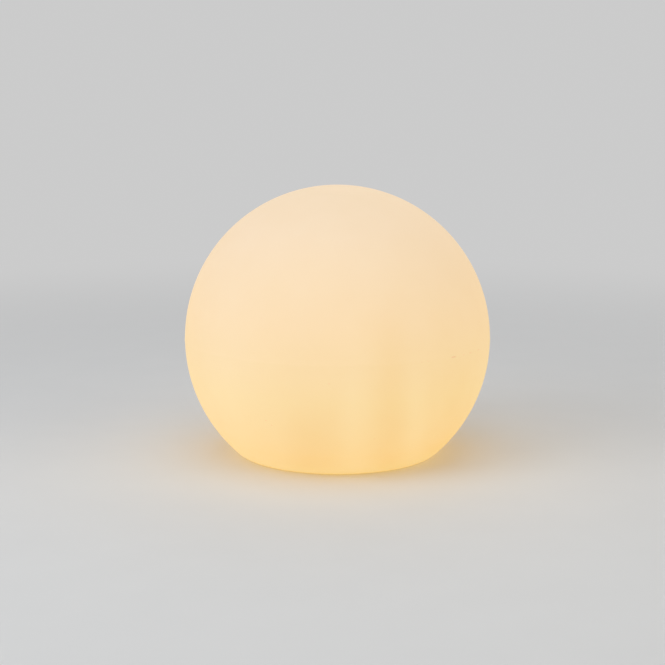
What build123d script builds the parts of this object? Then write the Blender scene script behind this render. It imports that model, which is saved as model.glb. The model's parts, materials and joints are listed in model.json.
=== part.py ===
"""Cordless garden globe light, in millimetres.

A moulded globe stands on its own flat base. A light module screws up into a collar in the
underside of the globe: a cup with the battery and the control board inside, LEDs under a
dome on top, and a push button, a charging socket and a breather vent underneath.
+Z is up and the origin is the centre of the flat base.
"""

import os
from math import asin, degrees, hypot, sqrt

from build123d import *

# Globe shell
globe_diameter = 600.0
base_cut = 70.0
shell_wall = 3.5
base_corner_radius = 34.0
seam_height = 0.4
seam_radius = 1.5
well_margin = 12.0
well_edge_radius = 2.5

# Screw thread between collar and module
thread_depth = 2.0
thread_pitch = 5.0
thread_turns = 2.0
thread_root_width = 2.6
thread_crest_width = 1.2
thread_clearance = 0.5
thread_rise = 7.0
thread_sink = 0.4

# Collar, its gasket, screws and inserts
collar_wall = 4.5
collar_flange_thickness = 4.5
collar_neck_margin = 10.5
collar_edge_radius = 1.5
collar_screw_count = 6
collar_screw_inset = 8.0
collar_screw_gap = 4.0
collar_screw_radius = 2.0
collar_screw_bite = 10.0
collar_screw_head_radius = 4.0
collar_screw_head_height = 2.7
collar_gasket_thickness = 1.5
opening_clearance = 2.0
insert_wall = 1.45
insert_setback = 1.0
insert_tip_gap = 1.0
insert_boss_wall = 5.0
insert_boss_cap = 3.0

# Module base: a cup with a flange
module_underside = 36.0
module_flange_width = 17.0
module_flange_thickness = 5.7
module_edge_radius = 1.5
seat_gap = 0.3
cup_wall = 3.5
cup_clearance = 5.0
cup_floor_thickness = 5.0
seal_radius = 1.4
seal_circle_inset = 8.0
seal_clearance = 0.1
seal_groove_play = 0.3

# Finger pockets either side of the grip bar
pocket_length = 64.0
pocket_width = 22.0
pocket_depth = 12.0
pocket_corner_radius = 10.0
pocket_mouth_radius = 1.2
pocket_wall = 2.5
grip_bar_width = 20.0

# Power button and its switch
button_radius = 6.5
button_clearance = 0.15
button_recess = 0.4
button_travel = 1.5
button_edge_radius = 0.8
button_flange_overhang = 1.6
button_flange_thickness = 1.0
button_rest_gap = 0.1
guide_wall = 2.4
guide_rise = 0.5
button_seal_radius = 0.75
button_seal_clearance = 0.05
button_seal_rise = 5.0
switch_width = 8.0
switch_height = 8.0
switch_corner_radius = 0.5
switch_gap = 0.4
plunger_radius = 1.5
plunger_clearance = 0.1
plunger_in_button = 2.0
plunger_in_switch = 1.5

# Charging socket and its rubber bung
port_offset = 46.0
port_recess_radius = 8.0
port_recess_depth = 5.0
port_roof = 2.5
socket_flange_radius = 6.0
socket_flange_thickness = 1.5
socket_flange_edge = 0.5
socket_barrel_radius = 4.0
socket_barrel_length = 10.0
socket_back_wall = 2.0
socket_bore_radius = 3.0
socket_clearance = 0.1
socket_pin_radius = 1.0
socket_pin_tip = 0.5
socket_pin_gap = 0.9
socket_nut_flats = 11.0
socket_nut_thickness = 3.0
socket_tag_width = 2.0
socket_tag_thickness = 0.6
socket_tag_length = 3.0
socket_tag_spacing = 3.0
bung_clearance = 0.4
bung_thickness = 2.0
bung_nub_reach = 1.4
bung_nub_taper = 0.5
bung_recess = 0.3
strap_width = 6.0
strap_thickness = 1.6
strap_reach = 5.0
strap_gap = 0.35
anchor_length = 6.0
anchor_peg_radius = 1.5

# Breather vent
vent_offset = 46.0
vent_head_radius = 7.0
vent_head_thickness = 2.0
vent_head_chamfer = 0.5
vent_recess_clearance = 1.0
vent_recess_depth = 3.5
vent_shank_radius = 4.0
vent_shank_length = 8.5
vent_bore_radius = 2.0
vent_slot_length = 4.0
vent_slot_width = 1.0
vent_slot_pitch = 2.0
vent_slot_depth = 1.0
vent_slot_count = 3
vent_washer_thickness = 1.0
vent_nut_thickness = 3.0

# Control board and what is soldered to its underside
board_gap = 4.5
board_width = 54.0
board_thickness = 1.6
board_screw_inset = 5.0
board_screw_radius = 1.2
board_screw_length = 8.0
board_screw_head_radius = 2.4
board_screw_head_height = 1.6
standoff_radius = 3.5
chip_width = 9.0
chip_height = 1.2
chip_place = (-12.0, 13.5)
driver_length = 5.0
driver_width = 4.0
driver_place = (10.0, 13.5)
coil_radius = 4.5
coil_height = 5.0
coil_chamfer = 0.5
coil_place = (14.0, -13.5)
capacitor_radius = 3.0
capacitor_height = 7.0
capacitor_edge = 0.5
capacitor_gap = 1.5
capacitor_place = (-9.0, -13.5)
header_length = 8.0
header_width = 9.0
header_height = 6.0
header_inset = 1.0
header_spread = 10.0

# Battery tray, cells and the band over them
tray_clearance = 0.8
tray_wing = 11.0
tray_floor = 2.0
tray_corner_radius = 6.0
tray_margin = 0.6
tray_rib_width = 1.6
tray_rib_height = 4.0
tray_end_wall = 2.0
tray_end_height = 14.0
tray_screw_inset_x = 5.0
tray_screw_inset_y = 6.0
tray_screw_radius = 1.4
tray_screw_length = 9.0
tray_screw_head_radius = 2.8
tray_screw_head_height = 2.0
post_radius = 4.5
cell_radius = 9.2
cell_length = 64.0
cell_gap = 0.6
cell_count = 4
cell_cap_radius = 2.7
cell_cap_height = 1.0
cell_clearance = 0.1
strip_thickness = 0.3
strip_height = 14.0
band_width = 14.0
band_thickness = 1.0
band_foot_margin = 2.5
band_boss_radius = 4.0
band_boss_height = 6.0

# Deck: gaskets, heat plate, LED board and dome
lead_headroom = 3.3
deck_screw_count = 6
deck_screw_inset = 10.0
deck_screw_radius = 1.4
deck_screw_head_radius = 2.8
deck_screw_head_height = 2.0
deck_screw_bite = 12.0
deck_boss_radius = 6.8
deck_boss_height = 16.0
deck_edge_setback = 1.0
deck_gasket_thickness = 1.0
heat_plate_thickness = 3.0
led_board_thickness = 1.6
led_size = 5.0
led_height = 1.6
led_ring_inset = 13.0
led_ring_step = 14.0
led_ring_counts = (16, 8)
led_screw_inset = 5.0
led_screw_count = 3
led_screw_radius = 1.0
led_screw_bite = 2.0
led_screw_head_radius = 2.2
led_screw_head_height = 1.4
dome_clearance = 3.0
dome_screw_gap = 4.0
dome_height = 26.0
dome_wall = 2.0
dome_flange_thickness = 3.0
dome_flange_edge = 1.0

# Leads inside the module
lead_radius = 0.8
lead_spacing = 2.6
lead_bend_radius = 3.0
lead_bend_share = 0.45
lead_hole_radius = 4.0
grommet_wall = 1.1

# Screws of every size: clearances, and shares of the head and the shank
screw_hole_clearance = 0.25
thread_bite_clearance = 0.05
slot_length_share = 1.1
slot_width_share = 0.28
slot_depth_share = 0.6
head_round_share = 0.45
tip_chamfer_share = 0.35

# Battery pack, worked out from the cells
cell_pitch = 2 * cell_radius + cell_gap
strip_length = cell_count * cell_pitch
cell_end = cell_length / 2
tray_end_y = cell_end + cell_cap_height + strip_thickness + cell_clearance
tray_length = strip_length + 2 * tray_wing
tray_width = 2 * (tray_end_y + tray_end_wall + tray_margin)
tray_screw_x = tray_length / 2 - tray_screw_inset_x
tray_screw_y = tray_width / 2 - tray_screw_inset_y
board_length = 2 * (tray_screw_x - post_radius - board_gap)
board_screw_x = board_length / 2 - board_screw_inset
board_screw_y = board_width / 2 - board_screw_inset

# Radii, worked out from the battery tray outwards
tray_corner_x = tray_length / 2 - tray_corner_radius
tray_corner_y = tray_width / 2 - tray_corner_radius
cup_inner_radius = hypot(tray_corner_x, tray_corner_y) + tray_corner_radius + cup_clearance
cup_radius = cup_inner_radius + cup_wall
module_flange_radius = cup_radius + module_flange_width
seal_circle_radius = module_flange_radius - seal_circle_inset
collar_bore_radius = cup_radius + thread_depth + thread_clearance
collar_neck_radius = collar_bore_radius + collar_wall
collar_screw_circle_radius = module_flange_radius + collar_screw_gap + collar_screw_head_radius
collar_flange_radius = collar_screw_circle_radius + collar_screw_inset
opening_radius = collar_neck_radius + opening_clearance
well_radius = collar_flange_radius + well_margin
insert_bore_radius = collar_screw_radius + thread_bite_clearance
insert_radius = insert_bore_radius + insert_wall
globe_radius = globe_diameter / 2
deck_radius = cup_radius - deck_edge_setback
deck_screw_circle_radius = cup_radius - deck_screw_inset
dome_outer_radius = deck_screw_circle_radius - deck_screw_head_radius - dome_screw_gap
dome_inner_radius = dome_outer_radius - dome_wall
led_board_radius = dome_inner_radius - dome_clearance
led_screw_circle_radius = led_board_radius - led_screw_inset

# Heights, worked out from the ground up
globe_centre = globe_radius - base_cut
module_flange_top = module_underside + module_flange_thickness
collar_face = module_flange_top + seat_gap
collar_flange_top = collar_face + collar_flange_thickness
collar_neck_height = thread_rise + thread_pitch * (thread_turns + 0.5) + collar_neck_margin
well_roof = collar_flange_top + collar_gasket_thickness
insert_hole_depth = collar_screw_bite + insert_tip_gap
seal_centre = collar_face - seal_clearance - seal_radius
cup_floor = module_underside + cup_floor_thickness
pocket_roof = module_underside + pocket_depth
pocket_block_top = pocket_roof + pocket_wall
guide_top = pocket_block_top + guide_rise
button_bottom = module_underside + button_recess
button_flange_bottom = guide_top + button_rest_gap
button_top = button_flange_bottom + button_flange_thickness
switch_bottom = button_top + button_travel + switch_gap
board_bottom = switch_bottom + switch_height
board_top = board_bottom + board_thickness
tray_bottom = board_top + board_screw_head_height + tray_clearance
tray_top = tray_bottom + tray_floor
cell_axis = tray_top + cell_clearance + cell_radius
band_bottom = cell_axis + cell_radius + cell_clearance
band_foot_bottom = tray_top + band_boss_height
cup_top = band_bottom + band_thickness + lead_headroom
heat_plate_bottom = cup_top + deck_gasket_thickness
heat_plate_top = heat_plate_bottom + heat_plate_thickness
led_board_top = heat_plate_top + led_board_thickness
dome_flange_bottom = heat_plate_top + deck_gasket_thickness
dome_flange_top = dome_flange_bottom + dome_flange_thickness

# Places on the underside of the module
pocket_offset = (grip_bar_width + pocket_width) / 2
port_roof_bottom = module_underside + port_recess_depth
port_roof_top = port_roof_bottom + port_roof
socket_mouth = port_roof_bottom - socket_flange_thickness
socket_top = port_roof_bottom + socket_barrel_length
socket_bore_top = socket_top - socket_back_wall
bung_radius = port_recess_radius - bung_clearance
bung_bottom = module_underside + bung_recess
bung_top = bung_bottom + bung_thickness
bung_nub_radius = socket_bore_radius - bung_clearance
bung_nub_top = socket_mouth + bung_nub_reach
hinge_x = port_offset - port_recess_radius - strap_reach
hinge_z = bung_bottom + strap_thickness / 2
anchor_x = hinge_x - strap_thickness / 2 - strap_gap - anchor_length / 2
channel_start = anchor_x - anchor_length / 2 - bung_clearance
channel_roof = bung_bottom + strap_thickness + bung_clearance
vent_seat = module_underside + vent_recess_depth
vent_head_top = vent_seat - vent_washer_thickness
vent_head_bottom = vent_head_top - vent_head_thickness

# Routes of the leads
header_x = board_length / 2 - header_inset
lead_half = lead_spacing / 2
lead_z = board_bottom - header_height / 2
battery_lead_x = -(tray_length / 2 + 2 * lead_radius)
battery_lead_z = cell_axis - strip_height / 2 + lead_radius
led_lead_x = battery_lead_x - lead_spacing
led_lead_z = cup_top - 2 * lead_radius


def save(piece, name):
    """Label a finished piece and write it to its own STEP file."""
    piece.part.label = name
    export_step(piece.part, f"parts/{name}.step")


def pan_head_screw(shank_radius, shank_length, head_radius, head_height):
    """Screw with its head below z = 0 and its shank above, with a cross slot in the head."""
    slot_length = head_radius * slot_length_share
    slot_width = head_radius * slot_width_share
    with BuildPart() as screw:
        with BuildSketch():
            Circle(head_radius)
        extrude(amount=-head_height)
        fillet(screw.edges().group_by(Axis.Z)[0], head_height * head_round_share)
        with BuildSketch(Plane.XY.offset(-head_height)):
            Rectangle(slot_length, slot_width)
            Rectangle(slot_width, slot_length)
        extrude(amount=head_height * slot_depth_share, mode=Mode.SUBTRACT)
        with BuildSketch():
            Circle(shank_radius)
        extrude(amount=shank_length)
        chamfer(screw.edges().group_by(Axis.Z)[-1], shank_radius * tip_chamfer_share)
    return screw.part


def thread_ridge(wall_radius, height, start):
    """Helical ridge on a wall: outwards for a positive height, inwards for a negative one."""
    sink = -thread_sink if height > 0 else thread_sink
    with BuildPart() as ridge:
        with BuildLine() as path:
            Helix(thread_pitch, thread_pitch * thread_turns, wall_radius, center=(0, 0, start))
        with BuildSketch(Plane(path.line @ 0, x_dir=(1, 0, 0), z_dir=path.line % 0)):
            with BuildLine():
                Polyline(
                    (sink, -thread_root_width / 2),
                    (0, -thread_root_width / 2),
                    (height, -thread_crest_width / 2),
                    (height, thread_crest_width / 2),
                    (0, thread_root_width / 2),
                    (sink, thread_root_width / 2),
                    close=True,
                )
            make_face()
        sweep(path=path.line, is_frenet=True)
    return ridge.part


def globe_section(inset):
    """Half section of the globe, drawn this far inside its outer surface."""
    radius = globe_radius - inset
    base_edge = sqrt(radius**2 - (globe_centre - inset) ** 2)
    base_angle = -degrees(asin((globe_centre - inset) / radius))
    well_side = well_radius + inset
    well_top = well_roof + inset
    outer_bend = well_edge_radius + shell_wall - inset
    inner_bend = well_edge_radius + shell_wall + inset
    with BuildSketch(Plane.XZ) as section:
        with BuildLine():
            CenterArc((0, globe_centre), radius, base_angle, 90 - base_angle)
            Polyline(
                (0, globe_centre + radius),
                (0, well_top),
                (well_side, well_top),
                (well_side, inset),
                (base_edge, inset),
            )
        make_face()
        fillet(section.vertices().sort_by_distance((base_edge, inset))[0], base_corner_radius - inset)
        fillet(section.vertices().sort_by_distance((well_side, inset))[0], outer_bend)
        fillet(section.vertices().sort_by_distance((well_side, well_top))[0], inner_bend)
    return section.sketch


def lead(points):
    """Insulated wire along a route of straight runs with rounded bends."""
    runs = [(Vector(end) - Vector(start)).length for start, end in zip(points, points[1:])]
    bend_radius = min(lead_bend_radius, lead_bend_share * min(runs))
    with BuildPart() as wire:
        with BuildLine() as route:
            FilletPolyline(*points, radius=bend_radius)
        with BuildSketch(Plane(route.line @ 0, z_dir=route.line % 0)):
            Circle(lead_radius)
        sweep(path=route.line)
    return wire.part


def battery_route(lead_y, strip_y):
    """Route from the battery header, round the edge of the tray, to the end of a cell strip."""
    return [
        (-header_x, lead_y, lead_z),
        (battery_lead_x, lead_y, lead_z),
        (battery_lead_x, lead_y, battery_lead_z),
        (battery_lead_x, strip_y, battery_lead_z),
        (-strip_length / 2, strip_y, battery_lead_z),
    ]


def led_route(lead_y):
    """Route from the LED header, up past the tray and over the cells, to the LED board."""
    return [
        (-header_x, lead_y, lead_z),
        (led_lead_x, lead_y, lead_z),
        (led_lead_x, lead_y, led_lead_z),
        (0, lead_y, led_lead_z),
        (0, lead_y, led_board_top + lead_radius),
    ]


def socket_route(tag_y):
    """Route from the charging header across and down to a tag of the socket."""
    return [
        (header_x, tag_y, lead_z),
        (port_offset, tag_y, lead_z),
        (port_offset, tag_y, socket_top + socket_tag_length),
    ]


os.makedirs("parts", exist_ok=True)

# Globe shell: hollow, with a seam bead round the middle and bosses for the inserts
with BuildPart() as globe_shell:
    add(globe_section(0))
    revolve(axis=Axis.Z)
    with BuildSketch(Plane.XZ):
        with Locations((globe_radius + seam_height - seam_radius, globe_centre)):
            Circle(seam_radius)
    revolve(axis=Axis.Z)
    add(globe_section(shell_wall))
    revolve(axis=Axis.Z, mode=Mode.SUBTRACT)
    with BuildSketch(Plane.XY.offset(well_roof)):
        with PolarLocations(collar_screw_circle_radius, collar_screw_count):
            Circle(insert_radius + insert_boss_wall)
    extrude(amount=insert_hole_depth + insert_boss_cap)
    with BuildSketch(Plane.XY.offset(well_roof)):
        with PolarLocations(collar_screw_circle_radius, collar_screw_count):
            Circle(insert_radius)
    extrude(amount=insert_hole_depth, mode=Mode.SUBTRACT)
    with BuildSketch(Plane.XY.offset(well_roof)):
        Circle(opening_radius)
    extrude(amount=shell_wall, mode=Mode.SUBTRACT)
save(globe_shell, "globe_shell")

# Brass inserts moulded into the shell's bosses
with BuildPart() as thread_inserts:
    with BuildSketch(Plane.XY.offset(well_roof + insert_setback)):
        with PolarLocations(collar_screw_circle_radius, collar_screw_count):
            Circle(insert_radius)
            Circle(insert_bore_radius, mode=Mode.SUBTRACT)
    extrude(amount=insert_hole_depth - insert_setback)
save(thread_inserts, "thread_inserts")

# Flat gasket between the collar flange and the roof of the well
with BuildPart() as collar_gasket:
    with BuildSketch(Plane.XY.offset(collar_flange_top)):
        Circle(collar_flange_radius)
        Circle(opening_radius, mode=Mode.SUBTRACT)
        with PolarLocations(collar_screw_circle_radius, collar_screw_count):
            Circle(collar_screw_radius + screw_hole_clearance, mode=Mode.SUBTRACT)
    extrude(amount=collar_gasket_thickness)
save(collar_gasket, "collar_gasket")

# Collar: a flange under the well roof and a neck with the female thread
collar_thread_start = collar_face + thread_rise + thread_pitch / 2
collar_thread = thread_ridge(collar_bore_radius, -thread_depth, collar_thread_start)
with BuildPart() as collar_ring:
    with BuildSketch(Plane.XY.offset(collar_face)):
        Circle(collar_flange_radius)
    extrude(amount=collar_flange_thickness)
    fillet(collar_ring.edges().group_by(Axis.Z)[0], collar_edge_radius)
    with BuildSketch(Plane.XY.offset(collar_flange_top)):
        Circle(collar_neck_radius)
    extrude(amount=collar_neck_height - collar_flange_thickness)
    fillet(collar_ring.edges().group_by(Axis.Z)[-1], collar_edge_radius)
    with BuildSketch(Plane.XY.offset(collar_face)):
        Circle(collar_bore_radius)
    extrude(amount=collar_neck_height, mode=Mode.SUBTRACT)
    with BuildSketch(Plane.XY.offset(collar_face)):
        with PolarLocations(collar_screw_circle_radius, collar_screw_count):
            Circle(collar_screw_radius + screw_hole_clearance)
    extrude(amount=collar_flange_thickness, mode=Mode.SUBTRACT)
    add(collar_thread)
save(collar_ring, "collar_ring")

# Screws up through the collar flange into the inserts
collar_screw_length = well_roof - collar_face + collar_screw_bite
collar_screw = pan_head_screw(
    collar_screw_radius, collar_screw_length, collar_screw_head_radius, collar_screw_head_height
)
with BuildPart() as collar_screws:
    with Locations((0, 0, collar_face)):
        with PolarLocations(collar_screw_circle_radius, collar_screw_count):
            add(collar_screw)
save(collar_screws, "collar_screws")

# Rubber ring that seals the module's flange to the collar
with BuildPart() as module_seal:
    with BuildSketch(Plane.XZ):
        with Locations((seal_circle_radius, seal_centre)):
            Circle(seal_radius)
    revolve(axis=Axis.Z)
save(module_seal, "module_seal")

# Module base: flange, cup, male thread, finger pockets and the seats of what it carries
module_thread = thread_ridge(cup_radius, thread_depth, collar_face + thread_rise)
with BuildPart() as module_base:
    with BuildSketch(Plane.XY.offset(module_underside)):
        Circle(module_flange_radius)
    extrude(amount=module_flange_thickness)
    fillet(module_base.edges().group_by(Axis.Z)[0], module_edge_radius)
    with BuildSketch(Plane.XY.offset(module_flange_top)):
        Circle(cup_radius)
    extrude(amount=cup_top - module_flange_top)
    with BuildSketch(Plane.XY.offset(cup_floor)):
        Circle(cup_inner_radius)
    extrude(amount=cup_top - cup_floor, mode=Mode.SUBTRACT)
    # Groove for the seal, in the top of the flange
    groove_half = seal_radius + seal_groove_play
    with BuildSketch(Plane.XY.offset(seal_centre - seal_radius - seal_clearance)):
        Circle(seal_circle_radius + groove_half)
        Circle(seal_circle_radius - groove_half, mode=Mode.SUBTRACT)
    extrude(amount=module_flange_thickness, mode=Mode.SUBTRACT)
    # Blocks round the finger pockets, the button guide and the roof of the charging port
    with BuildSketch(Plane.XY.offset(cup_floor)):
        with GridLocations(0, 2 * pocket_offset, 1, 2):
            RectangleRounded(
                pocket_length + 2 * pocket_wall,
                pocket_width + 2 * pocket_wall,
                pocket_corner_radius + pocket_wall,
            )
    extrude(amount=pocket_block_top - cup_floor)
    with BuildSketch(Plane.XY.offset(cup_floor)):
        Circle(button_radius + button_clearance + guide_wall)
    extrude(amount=guide_top - cup_floor)
    with BuildSketch(Plane.XY.offset(cup_floor)):
        with Locations((port_offset, 0)):
            Circle(port_recess_radius + port_roof)
    extrude(amount=port_roof_top - cup_floor)
    # Posts for the tray, standoffs for the board and bosses for the deck screws
    with BuildSketch(Plane.XY.offset(cup_floor)):
        with GridLocations(2 * tray_screw_x, 2 * tray_screw_y, 2, 2):
            Circle(post_radius)
    extrude(amount=tray_bottom - cup_floor)
    with BuildSketch(Plane.XY.offset(cup_floor)):
        with GridLocations(2 * board_screw_x, 2 * board_screw_y, 2, 2):
            Circle(standoff_radius)
    extrude(amount=board_bottom - cup_floor)
    with BuildSketch(Plane.XY.offset(cup_top)):
        with PolarLocations(deck_screw_circle_radius, deck_screw_count):
            Circle(deck_boss_radius)
    extrude(amount=-deck_boss_height)
    # Pilot holes for the three sets of screws
    with BuildSketch(Plane.XY.offset(tray_bottom)):
        with GridLocations(2 * tray_screw_x, 2 * tray_screw_y, 2, 2):
            Circle(tray_screw_radius + thread_bite_clearance)
    extrude(amount=-tray_screw_length, mode=Mode.SUBTRACT)
    with BuildSketch(Plane.XY.offset(board_bottom)):
        with GridLocations(2 * board_screw_x, 2 * board_screw_y, 2, 2):
            Circle(board_screw_radius + thread_bite_clearance)
    extrude(amount=-board_screw_length, mode=Mode.SUBTRACT)
    with BuildSketch(Plane.XY.offset(cup_top)):
        with PolarLocations(deck_screw_circle_radius, deck_screw_count):
            Circle(deck_screw_radius + thread_bite_clearance)
    extrude(amount=-deck_screw_bite - thread_bite_clearance, mode=Mode.SUBTRACT)
    # Finger pockets, open below
    with BuildSketch(Plane.XY.offset(module_underside)):
        with GridLocations(0, 2 * pocket_offset, 1, 2):
            RectangleRounded(pocket_length, pocket_width, pocket_corner_radius)
    extrude(amount=pocket_depth, mode=Mode.SUBTRACT)
    fillet(module_base.edges(Select.LAST).group_by(Axis.Z)[0], pocket_mouth_radius)
    # Bore of the button
    with BuildSketch(Plane.XY.offset(module_underside)):
        Circle(button_radius + button_clearance)
    extrude(amount=guide_top - module_underside, mode=Mode.SUBTRACT)
    # Recess and hole of the charging socket, and the channel of the bung's strap
    with BuildSketch(Plane.XY.offset(module_underside)):
        with Locations((port_offset, 0)):
            Circle(port_recess_radius)
    extrude(amount=port_recess_depth, mode=Mode.SUBTRACT)
    with BuildSketch(Plane.XY.offset(port_roof_bottom)):
        with Locations((port_offset, 0)):
            Circle(socket_barrel_radius + socket_clearance)
    extrude(amount=port_roof, mode=Mode.SUBTRACT)
    with BuildSketch(Plane.XY.offset(module_underside)):
        with Locations(((channel_start + port_offset) / 2, 0)):
            Rectangle(port_offset - channel_start, strap_width + 2 * bung_clearance)
    extrude(amount=channel_roof - module_underside, mode=Mode.SUBTRACT)
    with BuildSketch(Plane.XY.offset(module_underside)):
        with Locations((anchor_x, 0)):
            Circle(anchor_peg_radius + thread_bite_clearance)
    extrude(amount=cup_floor_thickness, mode=Mode.SUBTRACT)
    # Recess and hole of the breather vent
    with BuildSketch(Plane.XY.offset(module_underside)):
        with Locations((-vent_offset, 0)):
            Circle(vent_head_radius + vent_recess_clearance)
    extrude(amount=vent_recess_depth, mode=Mode.SUBTRACT)
    with BuildSketch(Plane.XY.offset(vent_seat)):
        with Locations((-vent_offset, 0)):
            Circle(vent_shank_radius + socket_clearance)
    extrude(amount=cup_floor - vent_seat, mode=Mode.SUBTRACT)
    add(module_thread)
save(module_base, "module_base")

# Push button with a retaining flange, a groove for its seal and a socket for the plunger
button_seal_circle_radius = button_radius + button_clearance - button_seal_clearance - button_seal_radius
button_seal_centre = button_bottom + button_seal_rise
button_groove_half = button_seal_radius + button_seal_clearance
with BuildPart() as power_button:
    with BuildSketch(Plane.XY.offset(button_bottom)):
        Circle(button_radius)
    extrude(amount=button_top - button_bottom)
    fillet(power_button.edges().group_by(Axis.Z)[0], button_edge_radius)
    with BuildSketch(Plane.XY.offset(button_flange_bottom)):
        Circle(button_radius + button_flange_overhang)
    extrude(amount=button_flange_thickness)
    with BuildSketch(Plane.XY.offset(button_seal_centre - button_groove_half)):
        Circle(button_radius)
        Circle(button_seal_circle_radius - button_groove_half, mode=Mode.SUBTRACT)
    extrude(amount=2 * button_groove_half, mode=Mode.SUBTRACT)
    with BuildSketch(Plane.XY.offset(button_top)):
        Circle(plunger_radius + thread_bite_clearance)
    extrude(amount=-plunger_in_button, mode=Mode.SUBTRACT)
save(power_button, "power_button")

# Rubber ring in the button's groove
with BuildPart() as button_seal:
    with BuildSketch(Plane.XZ):
        with Locations((button_seal_circle_radius, button_seal_centre)):
            Circle(button_seal_radius)
    revolve(axis=Axis.Z)
save(button_seal, "button_seal")

# Plunger of the switch, pressed into the button
with BuildPart() as switch_plunger:
    with BuildSketch(Plane.XY.offset(button_top - plunger_in_button)):
        Circle(plunger_radius)
    extrude(amount=plunger_in_button + switch_bottom - button_top + plunger_in_switch)
save(switch_plunger, "switch_plunger")

# Latching push switch under the control board
switch_bore_depth = plunger_in_switch + button_travel + switch_gap
with BuildPart() as push_switch:
    with BuildSketch(Plane.XY.offset(switch_bottom)):
        RectangleRounded(switch_width, switch_width, switch_corner_radius)
    extrude(amount=switch_height)
    with BuildSketch(Plane.XY.offset(switch_bottom)):
        Circle(plunger_radius + plunger_clearance)
    extrude(amount=switch_bore_depth, mode=Mode.SUBTRACT)
save(push_switch, "push_switch")

# Charging socket: a flange in the recess and a barrel up through its roof
with BuildPart() as charge_socket:
    with BuildSketch(Plane.XY.offset(socket_mouth)):
        with Locations((port_offset, 0)):
            Circle(socket_flange_radius)
    extrude(amount=socket_flange_thickness)
    fillet(charge_socket.edges().group_by(Axis.Z)[0], socket_flange_edge)
    with BuildSketch(Plane.XY.offset(port_roof_bottom)):
        with Locations((port_offset, 0)):
            Circle(socket_barrel_radius)
    extrude(amount=socket_barrel_length)
    with BuildSketch(Plane.XY.offset(socket_mouth)):
        with Locations((port_offset, 0)):
            Circle(socket_bore_radius)
    extrude(amount=socket_bore_top - socket_mouth, mode=Mode.SUBTRACT)
save(charge_socket, "charge_socket")

# Centre contact of the socket
socket_pin_end = bung_nub_top + socket_pin_gap
with BuildPart() as socket_pin:
    with BuildSketch(Plane.XY.offset(socket_pin_end)):
        with Locations((port_offset, 0)):
            Circle(socket_pin_radius)
    extrude(amount=socket_bore_top - socket_pin_end)
    fillet(socket_pin.edges().group_by(Axis.Z)[0], socket_pin_tip)
save(socket_pin, "socket_pin")

# Nut that draws the socket's flange against the roof of the recess
with BuildPart() as socket_nut:
    with BuildSketch(Plane.XY.offset(port_roof_top)):
        with Locations((port_offset, 0)):
            RegularPolygon(socket_nut_flats / 2, 6, major_radius=False)
            Circle(socket_barrel_radius + thread_bite_clearance, mode=Mode.SUBTRACT)
    extrude(amount=socket_nut_thickness)
save(socket_nut, "socket_nut")

# Solder tags on the back of the socket
with BuildPart() as socket_tags:
    with BuildSketch(Plane.XY.offset(socket_top)):
        with Locations((port_offset, 0)):
            with GridLocations(0, socket_tag_spacing, 1, 2):
                Rectangle(socket_tag_width, socket_tag_thickness)
    extrude(amount=socket_tag_length)
save(socket_tags, "socket_tags")

# Rubber bung: a disc in the recess, a nub in the socket's mouth and a strap to the hinge line
with BuildPart() as charge_bung:
    with BuildSketch(Plane.XY.offset(bung_bottom)):
        with Locations((port_offset, 0)):
            Circle(bung_radius)
    extrude(amount=bung_thickness)
    with BuildSketch(Plane.XY.offset(bung_top)):
        with Locations((port_offset, 0)):
            Circle(bung_nub_radius)
    with BuildSketch(Plane.XY.offset(bung_nub_top)):
        with Locations((port_offset, 0)):
            Circle(bung_nub_radius - bung_nub_taper)
    loft()
    with BuildSketch(Plane.XY.offset(bung_bottom)):
        with Locations(((hinge_x + port_offset) / 2, 0)):
            Rectangle(port_offset - hinge_x, strap_width)
    extrude(amount=strap_thickness)
    with BuildSketch(Plane.XZ):
        with Locations((hinge_x, hinge_z)):
            Circle(strap_thickness / 2)
    extrude(amount=strap_width / 2, both=True)
save(charge_bung, "charge_bung")

# Fixed end of the bung's strap, with a peg in the floor of the cup
with BuildPart() as bung_anchor:
    with BuildSketch(Plane.XY.offset(bung_bottom)):
        with Locations((anchor_x, 0)):
            Rectangle(anchor_length, strap_width)
    extrude(amount=channel_roof - bung_bottom)
    with BuildSketch(Plane.XY.offset(channel_roof)):
        with Locations((anchor_x, 0)):
            Circle(anchor_peg_radius)
    extrude(amount=cup_floor - channel_roof)
save(bung_anchor, "bung_anchor")

# Breather vent: a slotted head in its recess and a hollow shank through the floor
with BuildPart() as breather_vent:
    with BuildSketch(Plane.XY.offset(vent_head_bottom)):
        with Locations((-vent_offset, 0)):
            Circle(vent_head_radius)
    extrude(amount=vent_head_thickness)
    chamfer(breather_vent.edges().group_by(Axis.Z)[0], vent_head_chamfer)
    with BuildSketch(Plane.XY.offset(vent_head_top)):
        with Locations((-vent_offset, 0)):
            Circle(vent_shank_radius)
    extrude(amount=vent_shank_length)
    with BuildSketch(Plane.XY.offset(vent_head_top)):
        with Locations((-vent_offset, 0)):
            Circle(vent_bore_radius)
    extrude(amount=vent_shank_length, mode=Mode.SUBTRACT)
    with BuildSketch(Plane.XY.offset(vent_head_bottom)):
        with Locations((-vent_offset, 0)):
            with GridLocations(0, vent_slot_pitch, 1, vent_slot_count):
                Rectangle(vent_slot_length, vent_slot_width)
    extrude(amount=vent_slot_depth, mode=Mode.SUBTRACT)
save(breather_vent, "breather_vent")

# Rubber washer under the vent's head
with BuildPart() as vent_washer:
    with BuildSketch(Plane.XY.offset(vent_head_top)):
        with Locations((-vent_offset, 0)):
            Circle(vent_head_radius)
            Circle(vent_shank_radius + socket_clearance, mode=Mode.SUBTRACT)
    extrude(amount=vent_washer_thickness)
save(vent_washer, "vent_washer")

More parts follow.
